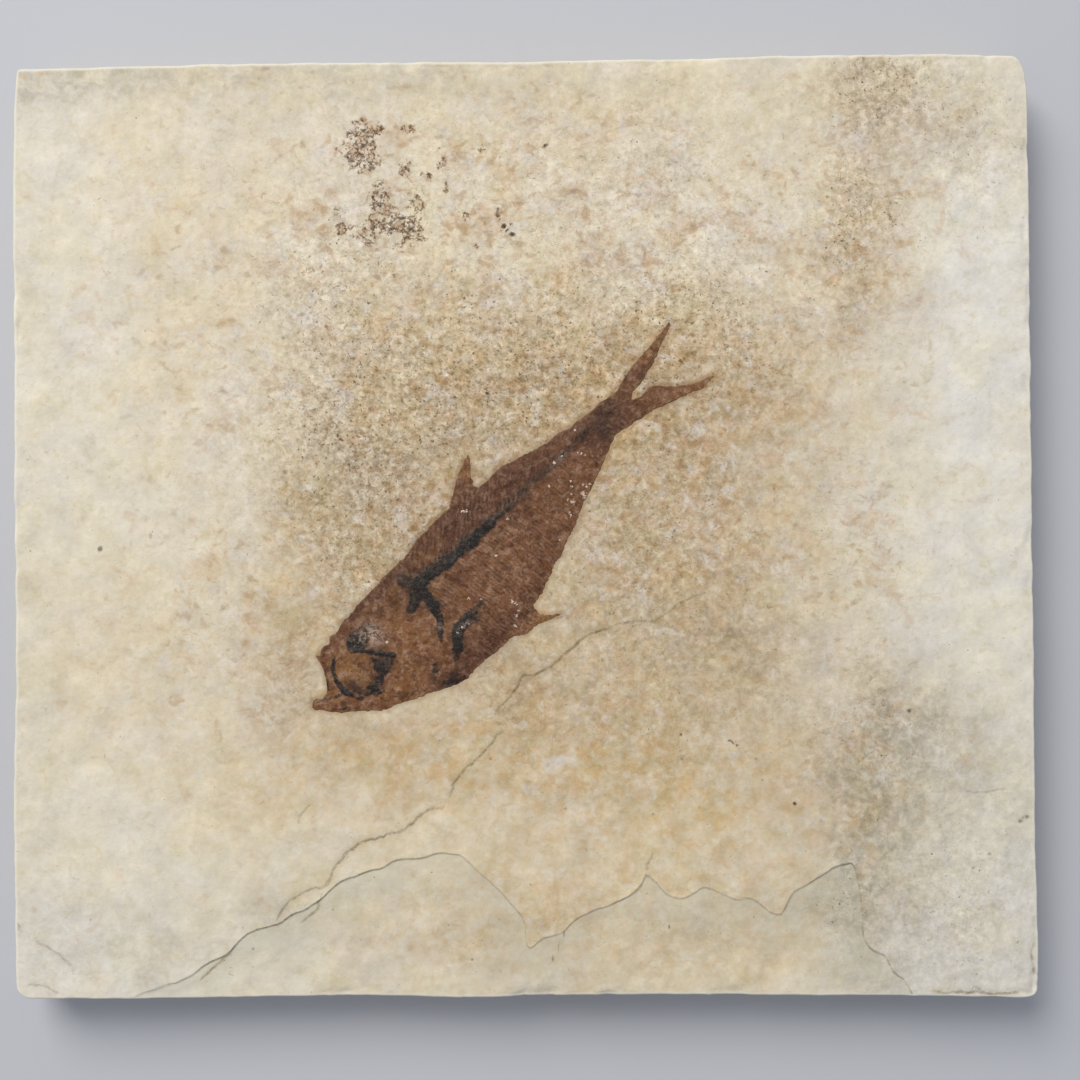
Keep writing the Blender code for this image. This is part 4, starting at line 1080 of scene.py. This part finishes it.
def patches(tree, place, size, low, high, detail=4.0, roughness=0.7, seed=0.0, stretch=(1, 1, 1),
            reach=(0, 1), swirl=0.0, share=None):
    """A mask of random patches about size mm across, cut between two levels of a noise, which a swirl may
    bend. It runs from reach[0] outside them to reach[1] inside. Where a share is given, patches are at
    their most numerous where it is 1 and die out towards 0."""
    spot = add(tree, "ShaderNodeMapping", {
        "Vector": place, "Location": (seed * 31, seed * 17, seed * 7), "Scale": stretch})
    noise = add(tree, "ShaderNodeTexNoise", {
        "Vector": spot, "Scale": 1 / size, "Detail": detail, "Roughness": roughness, "Distortion": swirl})
    if share is not None:
        raised = add(tree, "ShaderNodeMath", {0: noise, 1: -SOWING_REACH}, operation="ADD")
        noise = add(tree, "ShaderNodeMath", {0: share, 1: SOWING_REACH, 2: raised}, operation="MULTIPLY_ADD")
    return add(tree, "ShaderNodeMapRange", {
        "Value": noise, "From Min": low, "From Max": high, "To Min": reach[0], "To Max": reach[1]},
        interpolation_type="SMOOTHSTEP").outputs[0]


def veins(tree, place, size, width, seed):
    """A mask of thin wandering lines: where a noise passes through its middle value."""
    spot = add(tree, "ShaderNodeMapping", {"Vector": place, "Location": (seed * 31, seed * 17, seed * 7)})
    noise = add(tree, "ShaderNodeTexNoise", {
        "Vector": spot, "Scale": 1 / size, "Detail": 3.0, "Roughness": 0.6})
    off = add(tree, "ShaderNodeMath", {0: noise, 1: 0.5}, operation="SUBTRACT")
    off = add(tree, "ShaderNodeMath", {0: off}, operation="ABSOLUTE")
    return add(tree, "ShaderNodeMapRange", {"Value": off, "From Max": width, "To Min": 1.0, "To Max": 0.0},
               interpolation_type="SMOOTHSTEP").outputs[0]


def laid_over(tree, ground, *layers):
    """Colours laid over a ground one after another, each as (colour, masks and strengths that are
    multiplied)."""
    for colour, mask, *more in layers:
        for part in more:
            mask = add(tree, "ShaderNodeMath", {0: mask, 1: part}, operation="MULTIPLY")
        colour = linear(colour) if isinstance(colour, str) else colour
        ground = add(tree, "ShaderNodeMix", {0: mask, 6: ground, 7: colour}, data_type="RGBA").outputs[2]
    return ground


def grained(tree, place, ground, size, strength, seed, detail=5.0, roughness=0.88):
    """A colour made lighter and darker by a noise of features from size mm down, by a strength that may
    vary. What is added or taken away is half grey, as dust is, so that light grains aren't more vivid
    than dark ones."""
    spot = add(tree, "ShaderNodeMapping", {"Vector": place, "Location": (seed * 31, seed * 17, seed * 7)})
    noise = add(tree, "ShaderNodeTexNoise", {
        "Vector": spot, "Scale": 1 / size, "Detail": detail, "Roughness": roughness})
    off = add(tree, "ShaderNodeMath", {0: noise, 1: 0.5}, operation="SUBTRACT")
    tone = add(tree, "ShaderNodeMath", {0: off, 1: strength}, operation="MULTIPLY")
    grey = add(tree, "ShaderNodeRGBToBW", {"Color": ground})
    dust = add(tree, "ShaderNodeMix", {0: GREY_IN_DUST, 6: ground, 7: grey}, data_type="RGBA").outputs[2]
    return add(tree, "ShaderNodeVectorMath", {0: dust, 1: tone, 2: ground},
               operation="MULTIPLY_ADD").outputs[0]


def within(tree, offset, low, high, waver):
    """1 where an offset vector is shorter than low, 0 past high, with an edge that wavers."""
    length = add(tree, "ShaderNodeVectorMath", {0: offset}, operation="LENGTH").outputs["Value"]
    length = add(tree, "ShaderNodeMath", {0: length, 1: waver}, operation="ADD")
    return add(tree, "ShaderNodeMapRange", {
        "Value": length, "From Min": low, "From Max": high, "To Min": 1.0, "To Max": 0.0},
        interpolation_type="SMOOTHSTEP").outputs[0]


def offset_and_strength(tree, name):
    """An offset that the mesh carries, and the strength in its third part."""
    carried_offset = add(tree, "ShaderNodeAttribute", attribute_name=name).outputs["Vector"]
    part = add(tree, "ShaderNodeSeparateXYZ", {0: carried_offset})
    offset = add(tree, "ShaderNodeCombineXYZ", {"X": part.outputs["X"], "Y": part.outputs["Y"]})
    return offset, part.outputs["Z"]


def laminated_limestone(settings):
    """Laminated lake limestone, split along its bedding and sawn at the sides: dead matt, mottled about
    alike in all sizes from 0.5 to 8 mm, cream where clean and brown where organic matter and iron have
    stained it."""
    made, tree, place = new_finish("laminated_limestone")
    zone = carried(tree, (
        "stain", "ochre", "smoke", "frost", "pepper", "dendrite", "mottle", "cut", "ledge_shade_and_dirt", "worn"))

    # Washes of colour are broken up by patches of 1.7 and 2 mm (broken, rusty). Spots of single colours are
    # sown over them in clumps of 5.5 mm, more of them where the stone is stained. Clouds of 3 mm (drift,
    # blush, pale) change the ochre, and thin brown veins run through the spots.
    broken = patches(tree, place, 1.7, 0.25, 0.75, detail=3.0, roughness=0.7, seed=1.0, swirl=0.6,
                     reach=(0.3, 1.6))
    rusty = patches(tree, place, 2.0, 0.3, 0.7, detail=3.0, roughness=0.7, seed=2.0, swirl=0.6,
                    reach=(0.45, 1.4))
    olive = patches(tree, place, 2.0, 0.56, 0.68, detail=2.0, roughness=0.6, seed=4.0, swirl=0.8)
    clumps = patches(tree, place, 5.5, 0.35, 0.65, detail=2.0, roughness=0.5, seed=17.0, reach=(0.4, 1.5))
    sown = add(tree, "ShaderNodeMath", {0: zone["mottle"], 1: clumps}, operation="MULTIPLY")
    lilac = patches(tree, place, 2.8, 0.5, 0.6, detail=3.0, roughness=0.6, seed=3.0, swirl=0.5, share=sown)
    light = patches(tree, place, 1.0, 0.48, 0.62, detail=3.0, roughness=0.6, seed=7.0, swirl=0.6, share=sown)
    rust = patches(tree, place, 1.8, 0.47, 0.66, detail=2.5, roughness=0.62, seed=5.0, stretch=(0.8, 1, 1),
                   swirl=0.4, share=sown)
    golden = patches(tree, place, 4.2, 0.46, 0.62, detail=3.0, roughness=0.6, seed=27.0, swirl=0.5,
                     share=sown)
    pink = patches(tree, place, 1.4, 0.53, 0.66, detail=2.0, roughness=0.6, seed=6.0, swirl=0.4, share=sown)
    umber = patches(tree, place, 0.9, 0.49, 0.62, detail=3.0, roughness=0.7, seed=16.0, swirl=0.8,
                    share=zone["pepper"])
    lines = veins(tree, place, 2.2, 0.03, 7.0)
    drift = patches(tree, place, 3.4, 0.46, 0.62, detail=2.0, roughness=0.5, seed=18.0, swirl=0.6)
    blush = patches(tree, place, 3.0, 0.48, 0.62, detail=2.0, roughness=0.5, seed=19.0, swirl=0.6)
    pale = patches(tree, place, 2.8, 0.48, 0.62, detail=2.0, roughness=0.5, seed=20.0, swirl=0.6)
    vivid = add(tree, "ShaderNodeMapRange", {
        "Value": zone["mottle"], "To Min": 0.2, "To Max": 1.0}).outputs[0]
    ground = laid_over(
        tree, linear(settings.cream),
        (settings.frost, zone["frost"], 0.9),
        (settings.ochre, zone["ochre"], rusty, 0.7),
        (settings.tan, zone["stain"], broken, 0.85),
        (settings.smoke, zone["smoke"], broken, 0.75),
        ("#B4A172", drift, zone["ochre"], 0.4),
        ("#D5AA7A", blush, zone["ochre"], 0.35),
        ("#E2D9C8", pale, zone["ochre"], 0.4),
        ("#DED1BD", light, 0.42),
        ("#DAD4CD", lilac, 0.55),
        ("#CFC59E", olive, 0.3),
        ("#C9A57C", golden, 0.3),
        ("#AA875B", rust, vivid, 0.65),
        ("#D6B094", pink, 0.3),
        ("#957C4C", lines, zone["mottle"], zone["mottle"], 0.45),
        ("#7C6542", umber, 0.5),
    )

    # Warmer and cooler clouds of 9 mm down. Tone: features of 5 mm down everywhere, and of 1 mm down mainly
    # where the stone is crusty.
    clouds = patches(tree, place, 9.0, 0.35, 0.65, detail=3.0, roughness=0.65, seed=26.0)
    hue = laid_over(tree, linear("#FDFDFF"), ("#FFFDF5", clouds))
    ground = add(tree, "ShaderNodeVectorMath", {0: ground, 1: hue}, operation="MULTIPLY").outputs[0]
    ground = grained(tree, place, ground, 5.0, 0.44, 8.0, detail=3.0, roughness=0.72)
    gritty = add(tree, "ShaderNodeMapRange", {
        "Value": zone["pepper"], "To Min": 0.2, "To Max": 1.9}).outputs[0]
    ground = grained(tree, place, ground, 1.2, gritty, 9.0, detail=2.0)

    # Black mineral grains of 0.3 to 0.6 mm, in clusters. Dendrites: threads about 0.2 mm wide with gaps and
    # dark knots, in a brown bloom. A noise frays each cluster's edge (patchy), and no thread strays far from
    # its cluster (close).
    cluster = patches(tree, place, 3.0, 0.3, 0.6, seed=10.0, reach=(0.3, 1.0))
    pepper = patches(tree, place, 0.6, 0.56, 0.66, detail=1.5, seed=11.0, share=zone["pepper"])
    threads = veins(tree, place, 1.2, 0.08, 21.0)
    gaps = patches(tree, place, 0.9, 0.36, 0.5, detail=2.0, roughness=0.65, seed=24.0, reach=(0.45, 1.0))
    knots = patches(tree, place, 0.6, 0.52, 0.62, detail=2.0, roughness=0.65, seed=12.0)
    bloom = patches(tree, place, 1.4, 0.42, 0.6, detail=2.0, roughness=0.6, seed=22.0)
    fray = patches(tree, place, 1.3, 0.0, 1.0, detail=3.0, roughness=0.7, seed=25.0, reach=(-0.8, 0.8))
    frayed = add(tree, "ShaderNodeMath", {0: zone["dendrite"], 1: fray}, operation="ADD")
    patchy = add(tree, "ShaderNodeMapRange", {"Value": frayed, "From Min": 0.15, "From Max": 0.5},
                 interpolation_type="SMOOTHSTEP").outputs[0]
    close = add(tree, "ShaderNodeMapRange", {
        "Value": zone["dendrite"], "From Min": 0.03, "From Max": 0.2}).outputs[0]

    # Specks, cracks, and the shade and dirt under the ledge. Their edges waver with a noise of 0.35 mm.
    waver = patches(tree, place, 0.35, 0.0, 1.0, detail=2.0, seed=13.0, reach=(-0.5, 0.5))
    to_speck, blackness = offset_and_strength(tree, "speck")
    speck = within(tree, to_speck, 0.35, 1.35, waver)
    to_crack, sharpness = offset_and_strength(tree, "crack")
    slight = add(tree, "ShaderNodeMath", {0: waver, 1: 0.22}, operation="MULTIPLY")
    seam = within(tree, to_crack, 0.0, 0.34, slight)
    smudge = within(tree, to_crack, 0.0, 1.2, waver)
    broken_line = patches(tree, place, 1.3, 0.4, 0.6, seed=14.0, reach=(0.25, 1.0))
    ledge = add(tree, "ShaderNodeAttribute", attribute_name="ledge").outputs["Fac"]
    ragged = add(tree, "ShaderNodeMath", {0: waver, 1: 0.22, 2: ledge}, operation="MULTIPLY_ADD")
    under = add(tree, "ShaderNodeMapRange", {"Value": ragged, "From Min": -0.36, "From Max": -0.04},
                interpolation_type="SMOOTHSTEP").outputs[0]
    over = add(tree, "ShaderNodeMapRange", {
        "Value": ragged, "From Min": 0.0, "From Max": 0.1, "To Min": 1.0, "To Max": 0.0},
        interpolation_type="SMOOTHSTEP").outputs[0]
    fresh = add(tree, "ShaderNodeMapRange", {
        "Value": ledge, "From Min": -9.0, "From Max": -0.2, "To Min": 0.1, "To Max": 1.0}).outputs[0]
    bared = add(tree, "ShaderNodeMath", {0: ledge, 1: 0.0}, operation="LESS_THAN")
    gap = add(tree, "ShaderNodeAttribute", attribute_name="fish_gap").outputs["Fac"]
    bleed = add(tree, "ShaderNodeMapRange", {
        "Value": gap, "From Min": 0.0, "From Max": 0.6, "To Min": 1.0, "To Max": 0.0}).outputs[0]
    ground = laid_over(
        tree, ground,
        ("#C9C8B8", bared, fresh, 0.4),
        ("#8E6E4C", bleed, 0.4),
        ("#65513B", pepper, cluster, 0.85),
        ("#B08C66", bloom, patchy, close, 0.45),
        ("#76553A", threads, gaps, patchy, close, 0.9),
        ("#45311F", knots, patchy, close, 0.75),
        ("#33271B", speck, blackness, 0.9),
        ("#A39372", smudge, sharpness, 0.3),
        ("#7A6848", seam, sharpness, broken_line, 0.9),
        # Painted shade with dirt along the foot of the ledge.
        ("#84765A", under, over, zone["ledge_shade_and_dirt"], broken_line, 0.7),
    )

    # The sawn sides show the laminae edge on: bands 0.3 to 1.5 mm thick. The arris is laid pale: partly
    # bruised stone, partly a painted highlight that lifts the rounded edge out of its shade.
    bands = patches(tree, place, 1.1, 0.35, 0.65, seed=15.0, stretch=(0.03, 0.03, 1.0))
    side = laid_over(tree, ground, ("#B79F7A", bands, 0.45))
    # Painted highlight with wear: the arris and the rim row are laid pale.
    ground = laid_over(tree, ground, (side, zone["cut"]), ("#E9E7DC", zone["worn"], 0.55))

    # Relief too fine for the mesh: lumps of 2.6 mm down, stronger where the stone is crusty.
    grain = add(tree, "ShaderNodeTexNoise", {
        "Vector": place, "Scale": 1 / 2.6, "Detail": 4.0, "Roughness": 0.66})
    crust = add(tree, "ShaderNodeMapRange", {
        "Value": zone["pepper"], "To Min": 1.6, "To Max": 2.2}).outputs[0]
    grain = add(tree, "ShaderNodeMath", {0: grain, 1: crust}, operation="MULTIPLY")
    sunk = add(tree, "ShaderNodeMath", {0: seam, 1: -0.6, 2: grain}, operation="MULTIPLY_ADD")
    bump = add(tree, "ShaderNodeBump", {"Strength": 0.7, "Distance": 0.14 * MM, "Height": sunk})
    shader = add(tree, "ShaderNodeBsdfPrincipled", {
        "Base Color": ground, "Roughness": 0.92, "IOR": 1.5, "Specular IOR Level": 0.25, "Normal": bump})
    add(tree, "ShaderNodeOutputMaterial", {"Surface": shader})
    return made


def phosphate_film(settings):
    """Fossil fish: a brown film of carbon and phosphate with a faint waxy gloss, streaked along the ribs,
    over bones that are black and glassy where they are thick."""
    made, tree, place = new_finish("phosphate_film")
    value = carried(tree, ("gold", "dusk", "soot", "ash", "black", "flake", "rim", "streak", "ribbed"))
    weave = add(tree, "ShaderNodeAttribute", attribute_name="weave").outputs["Vector"]

    # Clouds of 2.6 mm vary the thickness of the film, and mottles of 0.8 to 1.4 mm its colour. Streaks 0.5 mm
    # wide and 2 mm long follow the ribs, and only where there are ribs. Grit of 0.45 mm is for the relief.
    thick = patches(tree, place, 2.6, 0.3, 0.7, detail=5.0, roughness=0.75, seed=11.0, reach=(0.35, 1.35))
    thin = patches(tree, place, 2.6, 0.3, 0.7, detail=5.0, roughness=0.75, seed=11.0, reach=(1.35, 0.35))
    grit = patches(tree, place, 0.45, 0.3, 0.7, detail=3.0, seed=12.0)
    light_spots = patches(tree, place, 1.1, 0.47, 0.64, detail=3.0, seed=13.0, swirl=0.4)
    dark_spots = patches(tree, place, 1.4, 0.47, 0.64, detail=3.0, seed=14.0, swirl=0.4)
    rosy_spots = patches(tree, place, 1.0, 0.51, 0.64, detail=3.0, seed=15.0, swirl=0.8)
    grey_spots = patches(tree, place, 0.8, 0.55, 0.66, detail=3.0, seed=16.0, swirl=0.8)
    light_streaks = patches(tree, weave, 1.0, 0.5, 0.68, detail=3.0, seed=17.0, stretch=(1.9, 0.6, 1),
                            swirl=0.4)
    dark_streaks = patches(tree, weave, 1.0, 0.5, 0.68, detail=3.0, seed=18.0, stretch=(1.7, 0.5, 1),
                           swirl=0.4)
    ridge = add(tree, "ShaderNodeMapRange", {"Value": value["streak"], "From Max": 0.9}).outputs[0]
    furrow = add(tree, "ShaderNodeMapRange", {"Value": value["streak"], "From Max": -0.9}).outputs[0]
    colour = laid_over(
        tree, linear(settings.film),
        (settings.gold, value["gold"], thin, 0.85),
        (settings.dusk, value["dusk"], thick, 0.9),
        ("#A6866E", light_spots, 0.6),
        ("#452618", dark_spots, 0.65),
        ("#885A4A", rosy_spots, 0.45),
        ("#6E5A49", grey_spots, 0.3),
        ("#A3846A", light_streaks, value["ribbed"], 0.45),
        ("#3D2218", dark_streaks, value["ribbed"], 0.5),
        ("#93704F", ridge, 0.2),
        ("#43281C", furrow, 0.3),
        (settings.dusk, value["dusk"], 0.4),
        ("#332A26", value["soot"], thick, 0.75),
    )
    colour = grained(tree, place, colour, 1.2, 1.9, 18.0, detail=3.0)

    # Bones: black with ragged edges, with painted highlights: grey glints, and ash grey and silver where the
    # bones shine.
    # Crumbs of 0.3 mm make the bare flecks ragged. The film's edge is pale in some places and dark in others.
    ragged = patches(tree, place, 0.8, 0.25, 0.75, detail=3.0, seed=19.0, reach=(-0.4, 0.4))
    inky = add(tree, "ShaderNodeMath", {0: value["black"], 1: ragged}, operation="ADD")
    inky = add(tree, "ShaderNodeMapRange", {"Value": inky, "From Min": 0.15, "From Max": 0.95},
               interpolation_type="SMOOTHSTEP").outputs[0]
    solid = add(tree, "ShaderNodeMapRange", {"Value": value["black"], "From Max": 0.5}).outputs[0]
    # Painted highlight: grey glints on the black bone.
    glints = patches(tree, place, 0.8, 0.5, 0.7, detail=3.0, seed=20.0)
    bone = laid_over(tree, linear(settings.bone), ("#4D4540", glints, 0.75))
    silver = patches(tree, place, 0.55, 0.46, 0.58, detail=2.0, seed=21.0)
    sooty = patches(tree, place, 0.55, 0.47, 0.57, detail=2.0, seed=23.0)
    crumbs = patches(tree, place, 0.28, 0.2, 0.8, detail=2.0, seed=24.0, reach=(-0.9, 0.9))
    chip = add(tree, "ShaderNodeMath", {0: crumbs, 1: value["flake"]}, operation="ADD")
    chip = add(tree, "ShaderNodeMapRange", {"Value": chip, "From Min": 0.5, "From Max": 0.85}).outputs[0]
    near_chip = add(tree, "ShaderNodeMapRange", {"Value": value["flake"], "From Max": 0.25}).outputs[0]
    edge = add(tree, "ShaderNodeMath", {0: ragged, 1: 0.4, 2: value["rim"]}, operation="MULTIPLY_ADD")
    edge = add(tree, "ShaderNodeMapRange", {"Value": edge, "From Max": 0.45, "To Min": 1.0, "To Max": 0.0},
               interpolation_type="SMOOTHSTEP").outputs[0]
    outline = patches(tree, place, 3.0, 0.35, 0.65, seed=22.0)
    colour = laid_over(
        tree, colour,
        # Painted highlights over the shining bone: ash grey, dark specks and silver.
        ("#8F7767", value["ash"], 0.55),
        ("#30241F", value["ash"], sooty, 0.7),
        (bone, inky, solid),
        ("#BBA696", value["ash"], silver, 0.85),
        (settings.flake, chip, near_chip, 0.85),
        ("#8F7350", edge, 0.5),
        ("#4B3022", edge, outline, 0.6),
    )
    gloss = add(tree, "ShaderNodeMapRange", {"Value": inky, "To Min": 0.62, "To Max": 0.4}).outputs[0]
    bump = add(tree, "ShaderNodeBump", {"Strength": 0.6, "Distance": 0.07 * MM, "Height": grit})
    shader = add(tree, "ShaderNodeBsdfPrincipled", {
        "Base Color": colour, "Roughness": gloss, "IOR": 1.55, "Specular IOR Level": 0.22, "Normal": bump})
    add(tree, "ShaderNodeOutputMaterial", {"Surface": shader})
    return made


def matt_card(colour):
    """Plain matt card for the floor."""
    made, tree, _ = new_finish("matt_card")
    shader = add(tree, "ShaderNodeBsdfPrincipled", {
        "Base Color": linear(colour), "Roughness": 0.9, "Specular IOR Level": 0.2})
    add(tree, "ShaderNodeOutputMaterial", {"Surface": shader})
    return made


# ---------------------------------------------------------------- operators, panel and settings

class FOSSIL_OT_plate(bpy.types.Operator):
    """Make the limestone plate"""

    bl_idname = "fossil.plate"
    bl_label = "Limestone plate"

    def execute(self, context):
        settings = context.scene.fossil_plate
        plate = limestone_plate(settings)
        plate.data.materials.append(laminated_limestone(settings))
        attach(plate, "root")
        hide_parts("limestone_slab")
        return {"FINISHED"}


class FOSSIL_OT_fish(bpy.types.Operator):
    """Make the fossil fish"""

    bl_idname = "fossil.fish"
    bl_label = "Fossil fish"

    def execute(self, context):
        settings, plate_settings = context.scene.fossil_fish, context.scene.fossil_plate
        fish = fish_film(settings, plate_settings)
        fish.data.materials.append(phosphate_film(settings))
        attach(fish, "root")
        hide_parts("fossil_fish")
        return {"FINISHED"}


# The camera looks straight down. FRAME_WIDTH is what it sees across at the height of the stone's face.
FRAME_WIDTH = 164.5
FRAME_CENTRE = (2.13, -2.06)
LENS = 50.0
SENSOR = 36.0


def look_at(name, data, place, target):
    """A light or camera at a place, turned to a target, both in mm. Its top points along +Y or, from the
    side, up."""
    made = bpy.data.objects.new(name, data)
    bpy.context.scene.collection.objects.link(made)
    made.location = [value * MM for value in place]
    direction = np.array(target, float) - np.array(place, float)
    forward = direction / np.linalg.norm(direction)
    tilt = math.acos(-forward[2])
    made.rotation_euler = (tilt, 0.0, math.atan2(-forward[0], forward[1]) if tilt > 1e-6 else 0.0)
    return made


def soft_box(name, place, width, power, colour):
    """A square area light that faces the plate."""
    data = bpy.data.lights.new(name, "AREA")
    data.shape = "SQUARE"
    data.size = width * MM
    data.energy = power
    data.color = linear(colour)[:3]
    return look_at(name, data, place, (0, 0, 0))


class FOSSIL_OT_stage(bpy.types.Operator):
    """Set the floor, the soft lights and the camera"""

    bl_idname = "fossil.stage"
    bl_label = "Stage"

    def execute(self, context):
        settings = context.scene.fossil_stage
        bpy.ops.mesh.primitive_plane_add(size=3.0)
        floor = context.object
        floor.name = "floor"
        floor.data.materials.append(matt_card(settings.floor_colour))
        soft_box("key_light", (-390, 630, 780), 630, settings.key_power, "#FFFAF1")
        world = bpy.data.worlds.new("soft_room")
        world.use_nodes = True
        background = world.node_tree.nodes["Background"]
        background.inputs["Color"].default_value = linear("#E9EDF5")
        background.inputs["Strength"].default_value = settings.fill
        context.scene.world = world
        context.scene.view_settings.view_transform = "Standard"
        camera = bpy.data.cameras.new("camera")
        camera.lens = LENS
        camera.sensor_width = SENSOR
        height = TOP + FRAME_WIDTH * LENS / SENSOR
        context.scene.camera = look_at("camera", camera, (*FRAME_CENTRE, height), (*FRAME_CENTRE, TOP))
        return {"FINISHED"}


class FOSSIL_PT_panel(bpy.types.Panel):
    """The sidebar panel with the pieces and their settings"""

    bl_idname = "FOSSIL_PT_panel"
    bl_label = "Fossil fish slab"
    bl_space_type = "VIEW_3D"
    bl_region_type = "UI"
    bl_category = "Fossil"

    def draw(self, context):
        groups = (
            ("fossil.plate", context.scene.fossil_plate),
            ("fossil.fish", context.scene.fossil_fish),
            ("fossil.stage", context.scene.fossil_stage),
        )
        for operator, settings in groups:
            box = self.layout.box()
            for name in settings.__annotations__:
                box.prop(settings, name)
            box.operator(operator)


CLASSES = (
    FossilPlateSettings, FossilFishSettings, FossilStageSettings, FOSSIL_OT_plate, FOSSIL_OT_fish,
    FOSSIL_OT_stage, FOSSIL_PT_panel,
)


def register():
    for cls in CLASSES:
        bpy.utils.register_class(cls)
    bpy.types.Scene.fossil_plate = bpy.props.PointerProperty(type=FossilPlateSettings)
    bpy.types.Scene.fossil_fish = bpy.props.PointerProperty(type=FossilFishSettings)
    bpy.types.Scene.fossil_stage = bpy.props.PointerProperty(type=FossilStageSettings)


def unregister():
    del bpy.types.Scene.fossil_stage
    del bpy.types.Scene.fossil_fish
    del bpy.types.Scene.fossil_plate
    for cls in reversed(CLASSES):
        bpy.utils.unregister_class(cls)


def main():
    register()
    bpy.ops.fossil.plate()
    bpy.ops.fossil.fish()
    bpy.ops.fossil.stage()


if __name__ == "__main__":
    main()
